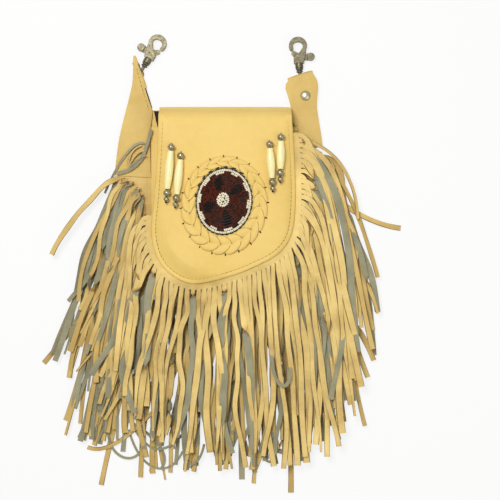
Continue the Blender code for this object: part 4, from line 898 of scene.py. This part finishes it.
# The slits at the leaves' tips and the gaps by the rosette's rim are dark sausages: painted shade.
slit_angle = np.arange(LEAVES) * step_angle - 1.42 * step_angle
slit_plan = ring_point(slit_angle, np.full(LEAVES, 0.97))
slit_centres = raised(slit_plan, np.full(LEAVES, FLAP_FACE))
slits = sausages(slit_centres, unit(slit_plan - WREATH_MIDDLE), 1.9 * MM, 0.85 * MM, -0.15 * MM)
gap_angle = np.radians([62, 80, 97, 113, 128, 143, 158, 176])
gap_centres = raised(ring_point(gap_angle, np.full(8, 0.05)), np.full(8, FLAP_FACE + 2.3 * MM))
gap_side = np.stack([-np.sin(gap_angle), np.cos(gap_angle)], -1)
gaps = sausages(gap_centres, gap_side, 2.2 * MM, 0.9 * MM, 0.0)
floor_angle = np.linspace(0, TURN, 120, endpoint=False)[None, None, :]
floor_share = np.array([-0.02, 0.45, 0.88, 0.91])[None, :, None]
floor_height = np.full((1, 4, 120), LEAF_BASE + 0.15 * MM)
floor_height[:, 3] = LEAF_BASE - 0.4 * MM
wreath_floor = raised(ring_point(floor_angle, floor_share + 0 * floor_angle), floor_height)


def split_edge(points):
    """Faces of the leaves, and those of the rolled strip along each free edge."""
    faces = quads(points)
    rolled_edge = np.tile(np.arange(8), len(faces) // 8) == 7
    return faces[~rolled_edge], faces[rolled_edge]


patches = [*shared_patches(outer_leaves, *split_edge(outer_leaves)),
           *shared_patches(inner_leaves, *split_edge(inner_leaves)),
           ringed(slits, 2), ringed(gaps, 2), ringed(wreath_floor)]
SHADED_EDGE = suede("shaded_cut_edge_of_leaves", "#7A5C2A", "#5E4420", "#94733A")
wreath = make_piece("braided_wreath_leaves", patches, (GRAIN, SHADED_EDGE, HOLE_SHADE), "flap", ("braided_wreath",),
                    50)
solid = wreath.modifiers.new("leaf_thickness", "SOLIDIFY")
solid.thickness = 0.5 * MM
solid.offset = -1

# %% [markdown]
# The rosette is worked from the middle outwards in rings of glass seed beads about 2 mm across. Most are
# dark maroon, four patches are black, the middle is ivory, and so is the rim with its ten small blocks.
# Seed beads are short cut tubes, fire-polished round, so each is a squat barrel with its hole along the
# thread.

# %% Seed beads
def glass_look(name, base, deep, rough):
    """Opaque glass beads: a hard, clear gloss over a colour that varies a little from bead to bead."""
    look, tree, shader = new_look(name)
    tint = add(tree, "ShaderNodeAttribute", attribute_name="bead_tint").outputs["Fac"]
    dress(tree, shader, blend_colours(tree, tint, base, deep), Roughness=rough, IOR=1.52,
          Specular_IOR_Level=0.12)
    return look


IVORY = glass_look("ivory_glass_seed_beads", "#F8F2DA", "#EADFC0", 0.30)
MAROON = glass_look("maroon_glass_seed_beads", "#6E2C10", "#341206", 0.40)
JET = glass_look("black_glass_seed_beads", "#26170E", "#130B06", 0.36)
BEAD_LEVEL = FLAP_FACE + 0.6 * MM + 1.4 * MM
BEAD_SIZE = 2.05 * MM
BARREL_SQUASH = 0.85
RINGS_OF_BEADS = 13
MIDDLE_SHIFT = np.array([-1.6, 2.0]) * MM
BLACK_PATCHES = np.radians([118, 42, -68, 206])


def barrels(centres, along, long, radius):
    """Squat barrels: 8 sides round the thread and 4 rings along it, narrowing at both ends."""
    s = np.array([-1, -0.55, 0.55, 1.0]) / 2
    wide = np.array([0.55, 1.0, 1.0, 0.55])
    turn = np.linspace(0, TURN, 8, endpoint=False)
    side = leftward(along)
    r = np.asarray(radius)[:, None, None] * wide[:, None]
    plan = (centres[:, None, None, :2] + along[:, None, None] * (s * long)[None, :, None, None]
            + side[:, None, None] * (r * np.cos(turn))[..., None])
    up = centres[:, 2, None, None] + BARREL_SQUASH * r * np.sin(turn)
    return raised(plan, up)


def bead_rings():
    """Every bead's place, thread direction and colour, ring by ring from the rim inwards."""
    bead_draw = np.random.default_rng(5)
    places, threads, colours = [], [], []
    for ring in range(RINGS_OF_BEADS):
        scale = 1 - (ring + 0.5) / RINGS_OF_BEADS
        half = ROSETTE_HALF * scale
        centre = ROSETTE_MIDDLE + MIDDLE_SHIFT * (1 - scale)
        fine = np.linspace(0, TURN, 721)
        outline = on_oval(centre, half, fine)
        run = run_along(outline)
        count = max(4, int(round(run[-1] / (1.75 * MM))))
        at = (np.arange(count) + bead_draw.random()) / count
        angle = np.interp(at * run[-1] % run[-1], run, fine)
        place = on_oval(centre, half, angle)
        ahead = unit(on_oval(centre, half, angle + 0.01) - place)
        rim = ring == 0
        block = (ring == 1) & ((angle / TURN * 10 + 0.2) % 1.0 < 0.50)
        middle = ring >= RINGS_OF_BEADS - 3
        from_patch = (angle[:, None] - BLACK_PATCHES + math.pi) % TURN - math.pi
        patch = (np.abs(from_patch).min(1) < math.radians(16 - 2.5 * abs(ring - 5.5))) & (abs(ring - 5.5) < 3)
        colour = np.where(rim | block | middle, 0, np.where(patch & (ring > 1), 2, 1))
        jitter = bead_draw.normal(0, (0.22 if middle else 0.07) * MM, place.shape)
        places.append(raised(place + jitter, np.full(count, BEAD_LEVEL)))
        threads.append(ahead)
        colours.append(colour)
    return np.concatenate(places), np.concatenate(threads), np.concatenate(colours)


places, threads, colours = bead_rings()
bead_draw = np.random.default_rng(6)
sizes = BEAD_SIZE / 2 * bead_draw.uniform(0.84, 0.96, len(places))
sizes[colours == 0] *= 1.30
BEAD_FINISHES = (("rosette_ivory_beads", IVORY, ("rosette_rim_beads", "rosette_centre_beads"), "white_glass"),
                 ("rosette_maroon_beads", MAROON, ("rosette_field_beads",), "maroon_glass"),
                 ("rosette_black_beads", JET, (), "maroon_glass"))
BEAD_POINTS = 32
BEAD_CAPS = np.array([[7, 6, 5, 4], [4, 3, 0, 7], [3, 2, 1, 0],
                      [24, 25, 26, 27], [24, 27, 28, 31], [28, 29, 30, 31]])
for number, (name, look, nodes, slot) in enumerate(BEAD_FINISHES):
    chosen = colours == number
    beads = barrels(places[chosen], threads[chosen], 1.62 * MM, sizes[chosen])
    tint = np.repeat(bead_draw.random(chosen.sum()), BEAD_POINTS)
    caps = (BEAD_CAPS[:, None] + np.arange(chosen.sum())[:, None] * BEAD_POINTS).reshape(-1, 4)
    faces = np.concatenate([quads(beads, close_columns=True), caps])
    make_piece(name, [(beads, faces, 0)], (look,), "flap", nodes, 70, values={"bead_tint": tint})

# %% [markdown]
# The beads are sewn to a thin black leather backing. Its pinked edge shows as a row of dark scallops all
# round the ivory rim.

# %% Rosette backing
BLACK_LEATHER = leather("thin_black_glove_leather", "#1C1713", "#120E0B", "#2A231D", 0.35, 0.55)
scallop_angle = np.linspace(0, TURN, 288, endpoint=False)
SCALLOPS = 36
scallop = 1.15 * MM * np.abs(np.sin(scallop_angle * SCALLOPS / 2)) ** 0.7
backing_outline = on_oval(ROSETTE_MIDDLE, ROSETTE_HALF, scallop_angle)
backing_outline = backing_outline + unit(backing_outline - ROSETTE_MIDDLE) * (0.35 * MM + scallop)[:, None]
BACKING_PROFILE = np.array([
    [60, 1.3], [20, 1.3], [8, 1.3], [2.2, 1.3], [0.8, 1.25], [0.2, 1.05], [0, 0.7], [0.2, 0.2], [1.0, 0.0],
    [60, 0.0]])
backing = stepped_rings(backing_outline, ROSETTE_MIDDLE, BACKING_PROFILE,
                        lambda x, y: np.full(np.shape(x), FLAP_FACE + 0.3 * MM))
ringed_piece("rosette_pinked_backing", backing, BLACK_LEATHER, "flap", "rosette_backing", 40,
             0.02 * MM)

# %% [markdown]
# The clips, rivet, zip hardware and round beads are die-cast or stamped metal with a bright nickel
# plate. Nickel mirrors its surroundings with a faint warm tint, and handling leaves fine scuffs.

# %% Nickel plate
def plated(name, base, worn, low, high):
    """Plated metal dulled by handling: colour and roughness vary with scuffs about 3 mm across."""
    look, tree, shader = new_look(name)
    place = object_place(tree)
    scuffs = spread(tree, noise(tree, place, 3.0, 3.0, 0.5), 0.30, 0.75)
    sockets = {"Value": scuffs, "To Min": low, "To Max": high}
    rough = add(tree, "ShaderNodeMapRange", sockets).outputs["Result"]
    tree.links.new(rough, shader.inputs["Roughness"])
    drawn = add(tree, "ShaderNodeMapping", {"Vector": place, "Scale": (1, 9, 1)}).outputs[0]
    dress(tree, shader, blend_colours(tree, scuffs, base, worn), noise(tree, drawn, 1.5, 4.0), 0.08, 0.05,
          Metallic=0.7)
    return look


NICKEL = plated("nickel_plated_zinc_casting", "#7A7259", "#5F5946", 0.40, 0.52)
RIVET = plated("pale_nickel_rivet_cap", "#E2D8B4", "#BDB18C", 0.26, 0.40)
BRIGHT_NICKEL = plated("polished_nickel_beads", "#BDB394", "#958B6C", 0.18, 0.32)


def cast_copy(node, look, grain, rounds):
    """A node's solid as a casting: cut into even cells of a grain's size and smoothed, so edges are round."""
    made = rounded_copy(node, look, 0.0)
    made.modifiers.clear()
    cells = made.modifiers.new("even_cells", "REMESH")
    cells.mode = "VOXEL"
    cells.voxel_size = grain
    cells.use_smooth_shade = True
    soft = made.modifiers.new("cast_rounding", "SMOOTH")
    soft.factor = 0.5
    soft.iterations = rounds
    return made


def rounded_copy(node, look, width, angle=28, segments=3):
    """A node's solid with its edges rounded off, to take the node's place."""
    source = frame["nodes"][node].data
    shape = bmesh.new()
    shape.from_mesh(source)
    bmesh.ops.remove_doubles(shape, verts=shape.verts, dist=0.01 * MM)
    bmesh.ops.dissolve_limit(shape, angle_limit=math.radians(1), verts=shape.verts, edges=shape.edges)
    mesh = bpy.data.meshes.new(node + "_rounded")
    shape.to_mesh(mesh)
    shape.free()
    mesh.materials.append(look)
    made = put_in_scene(node + "_rounded", mesh)
    mesh.shade_smooth()
    mesh.set_sharp_from_angle(angle=math.radians(angle))
    edge = made.modifiers.new("rounded_edges", "BEVEL")
    edge.width = width
    edge.segments = segments
    edge.limit_method = "ANGLE"
    edge.angle_limit = math.radians(angle)
    edge.harden_normals = True
    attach(made, body_of[node])
    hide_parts(node)
    return made


body_of = {node: body for body, nodes in frame["record"]["behaviour"]["bodies"].items() for node in nodes}
for side in ("left", "right"):
    cast_copy(side + "_hook_body", NICKEL, 0.25 * MM, 6)
    cast_copy(side + "_gate", NICKEL, 0.20 * MM, 3)
    rounded_copy(side + "_gate_pin", NICKEL, 0.12 * MM)
    cast_copy(side + "_swivel_eye", NICKEL, 0.20 * MM, 4)
for node in ("zip_slider", "zip_pull"):
    cast_copy(node, NICKEL, 0.15 * MM, 3)
for node in ("zip_end_stop", "zip_top_stop"):
    rounded_copy(node, NICKEL, 0.12 * MM)

# %% [markdown]
# Turned pieces share one shape function: a profile of radius against distance along an axis, carried
# round that axis. The bone beads are slim spindles, cut from bone and polished, and the beads at their
# ends are hollow metal balls.

# %% Bone and metal beads on their laces
def bone_look():
    """Polished bone: fine grain that runs along the bead, drawn out by a Mapping node, under a soft gloss."""
    look, tree, shader = new_look("polished_cream_bone")
    sockets = {"Vector": object_place(tree), "Scale": (1.0, 0.09, 1.0)}
    drawn = add(tree, "ShaderNodeMapping", sockets).outputs[0]
    grain = spread(tree, noise(tree, drawn, 0.8, 5.0, 0.6), 0.35, 0.75)
    dress(tree, shader, blend_colours(tree, grain, "#FFF5B8", "#F8E6A0"), grain, 0.12, 0.1, Roughness=0.32,
          IOR=1.54, Subsurface_Weight=0.12, Subsurface_Scale=1.2 * MM)
    return look


BONE = bone_look()
BEAD_AXIS = FLAP_FACE + GAP + 4.2 * MM
STRINGS = (((-51.4, 50.0), -5.5, 38.0), ((-42.1, 41.5), -6.0, 34.8), ((45.1, 52.8), 4.0, 30.0),
           ((56.6, 60.0), -1.0, 28.0))
BALL = 3.7 * MM
BALL_SQUASH = 0.94
BONE_WIDE = 4.2 * MM
TIP = 2.75 * MM


def turned(profile, start, lean, sides=28):
    """A profile, rows of (distance down the string, radius), carried round an axis that lies on the flap."""
    turn = np.linspace(0, TURN, sides, endpoint=False)
    down = np.array([math.sin(lean), -math.cos(lean)])
    side = np.array([math.cos(lean), math.sin(lean)])
    r = profile[:, 1, None]
    plan = np.array(start) * MM + down * profile[:, 0, None, None] + side * (r * np.cos(turn))[..., None]
    return raised(plan, BEAD_AXIS + r * np.sin(turn))[None]


def ball_profile(start, radius, bore=0.9 * MM):
    """Half a circle from bore to bore, with a small turned lip at each hole."""
    edge = math.acos(bore / radius)
    a = np.linspace(-edge, edge, 15)
    ball = np.stack([start + BALL_SQUASH * radius * (1 + np.sin(a)), radius * np.cos(a)], -1)
    lip = np.array([[-0.05 * MM, 0.35 * MM], [0.05 * MM, -0.25 * MM]])
    return np.concatenate([ball[:1] + lip[1:], ball, ball[-1:] + [[-0.05 * MM, -0.25 * MM]]])


def spindle_profile(start, long, wide):
    """A spindle: the radius swells like a sine between blunt, slightly dished ends."""
    s = np.linspace(0, 1, 25)
    radius = 2.75 * MM + (wide - 2.75 * MM) * np.sin(math.pi * s) ** 0.85
    body = np.stack([start + 0.25 * MM + s * (long - 0.5 * MM), radius], -1)
    first = np.array([[start + 0.5 * MM, 0.8 * MM], [start + 0.05 * MM, 1.3 * MM], [start, 2.3 * MM]])
    last = first[::-1].copy()
    last[:, 0] = 2 * start + long - last[:, 0]
    return np.concatenate([first, body, last])


LACE_WIDE = 1.4 * MM
LACE_SIDES = 12


def tube(route, radius, side):
    """Circles square to a route in the upright plane whose level normal is side, closed at both ends."""
    up = np.cross(side, unit(np.gradient(route, axis=0)))
    turn = np.linspace(0, TURN, LACE_SIDES, endpoint=False)[None, :, None]
    rings = route[:, None] + radius * (side * np.cos(turn) + up[:, None] * np.sin(turn))
    first, last = (np.repeat(end[None], LACE_SIDES, 1) for end in (route[:1], route[-1:]))
    return np.concatenate([first, rings, last])[None]


def hang_string(number, start, degrees, bone_long):
    """One string: a ball, a bone bead, a ball and a small one, on the lace that ends in its knot."""
    lean = math.radians(degrees)
    reach = 2 * 0.92 * BALL
    parts = ((f"silver_bead_upper_{number}", ball_profile(-0.1 * MM, BALL), BRIGHT_NICKEL, "silver_beads"),
             (f"bone_bead_{number}", spindle_profile(reach + 0.3 * MM, bone_long, BONE_WIDE), BONE, "bone"),
             (f"silver_bead_lower_{number}", ball_profile(reach + bone_long + 0.5 * MM, BALL), BRIGHT_NICKEL,
              "silver_beads"),
             (f"tip_bead_{number}", ball_profile(2 * reach + bone_long + 0.9 * MM, TIP, 0.8 * MM),
              BRIGHT_NICKEL, "silver_beads"))
    for name, profile, look, slot in parts:
        points = turned(profile, start, lean)
        make_piece(name + "_turned", [ringed(points)], (look,), "flap",
                                 (name,))
    foot = 2 * reach + bone_long + 2 * TIP + 0.4 * MM
    down = np.array([math.sin(lean), -math.cos(lean)])
    run = np.concatenate([[-0.3, -0.3, -0.25, -0.1, 0.1], np.linspace(0.6, foot / MM, 24)]) * MM
    high = np.full(run.size, BEAD_AXIS)
    high[:5] = FLAP_FACE + np.array([-0.6, 0.8, 2.0, 3.2, 3.9]) * MM
    route = raised(np.array(start) * MM + run[:, None] * down, high)
    thread = tube(route, LACE_WIDE / 2, np.array([math.cos(lean), math.sin(lean), 0.0]))
    lace = make_piece(f"bead_lace_{number}_thread", [ringed(thread)],
                      (BLACK_LEATHER,), "flap", (f"bead_lace_{number}",), merge=0.01 * MM)
    ball = turned(ball_profile(foot - 0.5 * MM, 1.1 * MM, 0.02 * MM), start, lean, 12)
    make_piece(f"bead_lace_{number}_knot", [ringed(ball)],
                             (BLACK_LEATHER,), "flap")


for number, (start, degrees, bone_mm) in enumerate(STRINGS, 1):
    hang_string(number, start, degrees, bone_mm * MM)

# %% [markdown]
# The front of the pouch and the slip pocket over it are formed leather. They climb from a flat seam to a
# full, level crown, so the same stepped rings as the flap's are laid over a level that climbs with the
# distance from the seam.

# %% Formed panels
SEAM = 5 * MM
WALL_RUN = 18 * MM
POUCH_MIDDLE = np.array([0.0, -12 * MM])
PANEL_EDGE = np.array([
    [60, 1.6], [30, 1.6], [16, 1.6], [9, 1.6], [6.6, 1.6], [5.3, 1.6], [4.2, 1.55], [3.0, 1.35], [1.7, 1.6],
    [0.8, 1.6], [0.25, 1.4], [0.0, 0.8], [0.25, 0.2], [0.9, 0.02], [3.0, 0.0], [12, 0.0], [60, 0.0]])


def pouch_outline(mouth, inset=0.0):
    """The U of the pouch or of a smaller one inside it, closed across its mouth."""
    a = np.linspace(math.pi, TURN, 90)
    half = POUCH_HALF - inset
    foot = POUCH_SIDE_END - POUCH_BOTTOM - inset
    bowl = np.stack([half * np.cos(a), POUCH_SIDE_END + foot * np.sin(a)], -1)
    corners = np.concatenate([bowl, [[half, mouth], [-half, mouth]]])
    return closed_outline(corners / MM, OUTLINE_POINTS)


def formed_panel(name, mouth, seam_level, crown, node):
    """A panel whose underside climbs from its seam to its crown; gives back the underside's level."""
    def level(x, y):
        """Height of the underside."""
        wave = 0.25 * MM * np.sin(x / (17 * MM) + 1) * np.sin(y / (23 * MM))
        climb = ease((pouch_inset(x, y) - SEAM) / WALL_RUN)
        return seam_level + (crown - LEATHER - seam_level + wave) * climb

    rings = stepped_rings(pouch_outline(mouth), POUCH_MIDDLE, refine_profile(PANEL_EDGE, 56, 30), level)
    ringed_piece(name, rings, GRAIN, "bag", node, 60, WELD)
    return level


def side_climb(x):
    """Share of its climb that a panel has made at a distance across the bag, from 0 at the side seam to 1."""
    return ease((POUCH_HALF - np.abs(x) - SEAM) / WALL_RUN)


formed_panel("front_panel_leather", POUCH_MOUTH, 4.1 * MM, 16.0 * MM, "front_panel")
pocket_level = formed_panel("slip_pocket_leather", POCKET_MOUTH, 6.0 * MM, 22.6 * MM, "pocket_panel")
mouth_line = np.stack([np.linspace(-66, 66, 60), np.full(60, 55.0)], -1) * MM
seam_stitches("slip_pocket_stitches", mouth_line[::-1], 3.0 * MM, pocket_level, 1.45 * MM, "bag")

# %% [markdown]
# Two leather tabs carry the clips. Each is cut from the same hide, lies on the bag's ear, rises a little
# and is folded round the clip's eye and sewn down behind. A tab is a sheet between two edge lines, and
# its fold is a sheet carried along the fold line.

# %% Tabs round the clips
def sheet_patch(middle, normal, thick):
    """A sheet with rounded edges: its middle surface moved both ways along its normal, and closed."""
    columns = middle.shape[1]
    v = np.linspace(-1, 1, columns)
    half = thick / 2 * (0.30 + 0.70 * (1 - v ** 10))[None, :, None]
    top = middle + normal * half
    under = middle - normal * half
    loop = np.concatenate([top, under[:, ::-1]], 1)[None]
    faces = quads(loop, close_columns=True)
    first = np.arange(columns - 1)
    cap = np.stack([first, first + 1, 2 * columns - 2 - first, 2 * columns - 1 - first], -1)
    end = cap[:, ::-1] + (middle.shape[0] - 1) * 2 * columns
    return loop, np.concatenate([faces, cap, end])


def plane_sheet(left, right, level, rows=40, columns=17, thick=LEATHER):
    """A sheet between two edge lines, given in millimetres, over a level."""
    left_line, _ = smooth_line(left, rows)
    right_line, _ = smooth_line(right, rows)
    v = np.linspace(0, 1, columns)[None, :, None]
    plan = left_line[:, None] * (1 - v) + right_line[:, None] * v
    middle = raised(plan, level(plan[..., 0], plan[..., 1]))
    normal = unit(np.cross(np.gradient(middle, axis=1), np.gradient(middle, axis=0)))
    normal *= np.sign(normal[..., 2:3])
    return sheet_patch(middle, normal, thick)


FOLD_HIGH = 7.1 * MM
FOLD_LOW = 2.0 * MM
TAB_REST = 4.9 * MM


def fold_sheet(start, stop, back, taper=0.0):
    """A fold carried along a line: level on top, half a circle round the edge, and narrower below."""
    start = np.array(start) * MM
    stop = np.array(stop) * MM
    along = (stop - start) / np.linalg.norm(stop - start)
    inward = -leftward(along)
    radius = (FOLD_HIGH - FOLD_LOW) / 2
    turn = np.linspace(0, math.pi, 13)
    below = np.linspace(radius + 2 * MM, back * MM, 5)
    depth = np.concatenate([[radius + 3 * MM], radius * (1 - np.sin(turn)), below])
    round_edge = (FOLD_HIGH + FOLD_LOW) / 2 + radius * np.cos(turn)
    height = np.concatenate([[FOLD_HIGH - 0.5 * MM], round_edge, np.full(5, FOLD_LOW)])
    out = np.concatenate([[0.0], np.sin(turn), np.zeros(5)])
    up = np.concatenate([[1.0], np.cos(turn), -np.ones(5)])
    line = start + (stop - start) * np.linspace(0, 1, 25)[:, None]
    share = 1 - taper * ease((depth - radius) / (back * MM - radius))[:, None, None]
    plan = (start + stop) / 2 + (line[None] - (start + stop) / 2) * share + inward * depth[:, None, None]
    middle = np.concatenate([plan, np.broadcast_to(height[:, None, None], plan.shape[:2] + (1,))], -1)
    flat = -inward[None, None] * out[:, None, None] + np.zeros_like(plan)
    normal = np.concatenate([flat, np.broadcast_to(up[:, None, None], plan.shape[:2] + (1,))], -1)
    return sheet_patch(middle, normal, LEATHER)


def rising(low, high):
    """A level that climbs from the bag's ear to the fold between two heights up the bag."""
    def level(x, y):
        """Height of the tab's middle, with the waves that handling has left."""
        wave = 0.35 * MM * np.sin(x / (6 * MM) + y / (19 * MM)) * ease((high - y) / (30 * MM))
        wave = wave * ease((y - 45 * MM) / (20 * MM))
        return TAB_REST + (FOLD_HIGH - 0.2 * MM - TAB_REST) * ease((y - low) / (high - low)) + wave
    return level


right_level = rising(84 * MM, 98 * MM)
right_front = plane_sheet(
    [(79, 43), (76, 60), (72.5, 68), (68.4, 76), (67.2, 88), (64.0, 100), (61.8, 107), (62.2, 112),
     (64.6, 115.2)],
    [(99, 50), (98.5, 56), (95.5, 75), (93.6, 88), (93.8, 98), (94.6, 108), (93.4, 116), (89.2, 123.0)],
    right_level)
right_fold = fold_sheet((63.8, 117.5), (88.6, 125.6), 26, 0.30)
LEFT_TAB_SEAM = [(-72.5, 84), (-76.0, 96), (-79.8, 108), (-84.0, 123), (-87.4, 136)]
left_level = rising(90 * MM, 102 * MM)
left_front = plane_sheet(
    [(-110.5, 20), (-107, 50), (-102.5, 72), (-96.5, 95), (-92.8, 110), (-91.6, 122), (-91.6, 134),
     (-91.3, 140.4)],
    [(-73.9, 18), (-74.6, 50), (-74.0, 70), *LEFT_TAB_SEAM, (-89.0, 140.4)],
    left_level)
left_fold = fold_sheet((-87.4, 135), (-78.2, 108), 4.8)
# The tabs wear the darker copy of the leather: painted shade.
for side, front_face, fold in (("right", right_front, right_fold), ("left", left_front, left_fold)):
    make_piece(side + "_tab_leather", [(*front_face, 0), (*fold, 0)], (TAB_GRAIN,), "bag", (side + "_tab",),
               60)
left_edge, _ = smooth_line(LEFT_TAB_SEAM, 120)
seam_stitches("left_tab_stitches", left_edge[:104], 2.6 * MM, left_level, 0.75 * MM, "bag")
rounded_copy("right_tab_rivet", RIVET, 0.25 * MM, angle=50)

# %% [markdown]
# The back is its own solid with rounded edges. The lining and the zip's two tapes are cloth, laid as thin
# sheets where their solids are. The zip's teeth and the two halves of the snap keep their solids, and get
# the finish of what they are.

# %% Back, lining and zip
def woven(name, base, light, thread_mm):
    """Plain weave: two sets of threads at right angles, as the product of two bands of waves."""
    look, tree, shader = new_look(name)
    sockets = {"Vector": object_place(tree), "Scale": per_metre(thread_mm) / TURN, "Distortion": 0.4}
    warp, weft = (add(tree, "ShaderNodeTexWave", sockets, bands_direction=way).outputs["Fac"] for way in "XY")
    cloth = times(tree, warp, weft)
    dress(tree, shader, blend_colours(tree, cloth, base, light), cloth, 0.5, 0.2, Roughness=0.85,
          Sheen_Weight=0.1)
    return look


def moulded(name, base, light):
    """Moulded nylon: an even, slightly glossy black with a faint mottle."""
    look, tree, shader = new_look(name)
    mottle = noise(tree, object_place(tree), 1.5, 3.0)
    dress(tree, shader, blend_colours(tree, mottle, base, light), Roughness=0.38, IOR=1.53)
    return look


TAPE = woven("black_polyester_zip_tape", "#16120E", "#2C251D", 0.6)
LINING = woven("black_taffeta_lining", "#13100C", "#26201A", 0.4)
NYLON = moulded("moulded_black_nylon_teeth", "#16120F", "#221C17")


def finish_node(node, look):
    """Give a node that keeps its own solid its finish."""
    data = frame["nodes"][node].data
    data.materials.clear()
    data.materials.append(look)


TAPE_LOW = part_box("zip_tape_lower")[0].z
TAPE_END_LOW = 3.8 * MM
TAPE_CLIMB = 7.1 * MM


def zip_level(x, y):
    """Just above the zip's tapes, which sink with the panel towards its side seams."""
    return TAPE_END_LOW + TAPE_CLIMB * side_climb(x) + 0 * y


def tape_level(x, y):
    """Middle of a zip tape, 0.25 mm over the level that it is sewn at."""
    return TAPE_LOW + 0.25 * MM + TAPE_CLIMB * side_climb(x) + 0 * y


def left_lining_level(x, y):
    """Level of the lining's edge that shows under the left tab."""
    return left_level(x, y) - 0.6 * MM


rounded_copy("back_panel", GRAIN, 0.5 * MM, 60, 2)


def lining_level(x, y):
    """The lining's underside: on the back, in shallow puckers that run up the bag."""
    folds = np.maximum(0, np.sin(x / (6.5 * MM) + 0.8 * np.sin(y / (19 * MM))))
    pucker = folds * np.maximum(0, np.sin(y / (23 * MM)))
    return 1.9 * MM + 0.7 * MM * pucker


LINING_INSET = 6.9 * MM
HEM = np.array([
    [60, 0.4], [40, 0.4], [20, 0.4], [8, 0.4], [2.5, 0.4], [1.0, 0.65], [0.1, 0.5], [0, 0.3], [0.1, 0.1],
    [1.0, 0.0], [8, 0.0], [60, 0.0]])
lining_rings = stepped_rings(pouch_outline(POUCH_MOUTH, LINING_INSET), POUCH_MIDDLE,
                             refine_profile(HEM, 56, 34), lining_level)
lining = ringed_piece("back_lining_taffeta", lining_rings, LINING, "bag", "back_lining", 60,
                      WELD)


for node, top, foot, end in (("zip_tape_lower", 73.9, 65.0, -67.4), ("zip_tape_upper", 84.3, 75.1, -69.0)):
    tape = plane_sheet([(end, top), (67.5, top)], [(end, foot), (67.5, foot)], tape_level, 120, 13, 0.5 * MM)
    make_piece(node + "_woven", [(*tape, 0)], (TAPE,), "bag", (node,), 50)
tape_ends = [plane_sheet([(out, 69.5), (out * 1.03, 77), (out * 1.055, 85)],
                         [(inside, 69.5), (inside, 77), (inside, 85)], zip_level, 14, 9, 0.4 * MM)
             for out, inside in ((-67.2, -62), (64, 62))]
make_piece("zip_tape_ends_sewn_together", [(*end, 0) for end in tape_ends], (TAPE,), "bag")
lining_out = left_edge / MM + [1.1, 0.3]
lining_edge = plane_sheet(left_edge[8:-6:6] / MM - [2, 0], lining_out[8:-6:6], left_lining_level, 40, 5,
                          0.4 * MM)
make_piece("left_tab_lining_edge", [(*lining_edge, 0)], (LINING,), "bag")
for node, look in (("zip_teeth_lower", NYLON), ("zip_teeth_upper", NYLON), ("body_snap_stud", NICKEL),
                   ("flap_snap_socket", NICKEL)):
    finish_node(node, look)

# %% [markdown]
# The flap is sewn to the back's mouth with a soft strip that lies hidden under the roll while the bag is
# shut. It is a sheet from the back's lip to the flap's edge, baked into place and attached to neither body.

# %% Strip that hinges the flap
across = np.linspace(-63.4, 66.2, 72) * MM
climb = np.linspace(0, 1, 15)[:, None]
LIP_CLIMB = 11.0 * MM
lip = LEATHER + LIP_CLIMB * side_climb(across) - 0.9 * MM
STRIP_TOP = 13.6 * MM
strip_y = 85.6 * MM + 2.1 * MM * np.sin(climb * math.pi / 2) + 0 * across
strip_z = lip + (STRIP_TOP - lip) * climb
strip = np.stack([across + 0 * climb, strip_y, strip_z], -1)[::-1]
away = unit(np.cross(np.gradient(strip, axis=1), np.gradient(strip, axis=0)))
hinge_strip = make_piece("flap_hinge_strip", [(*sheet_patch(strip, away, 1.2 * MM), 0)], (GRAIN,), None,
                         smooth=60)
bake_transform(hinge_strip)
print("hinge strip", [round(v / MM, 1) for v in hinge_strip.dimensions])
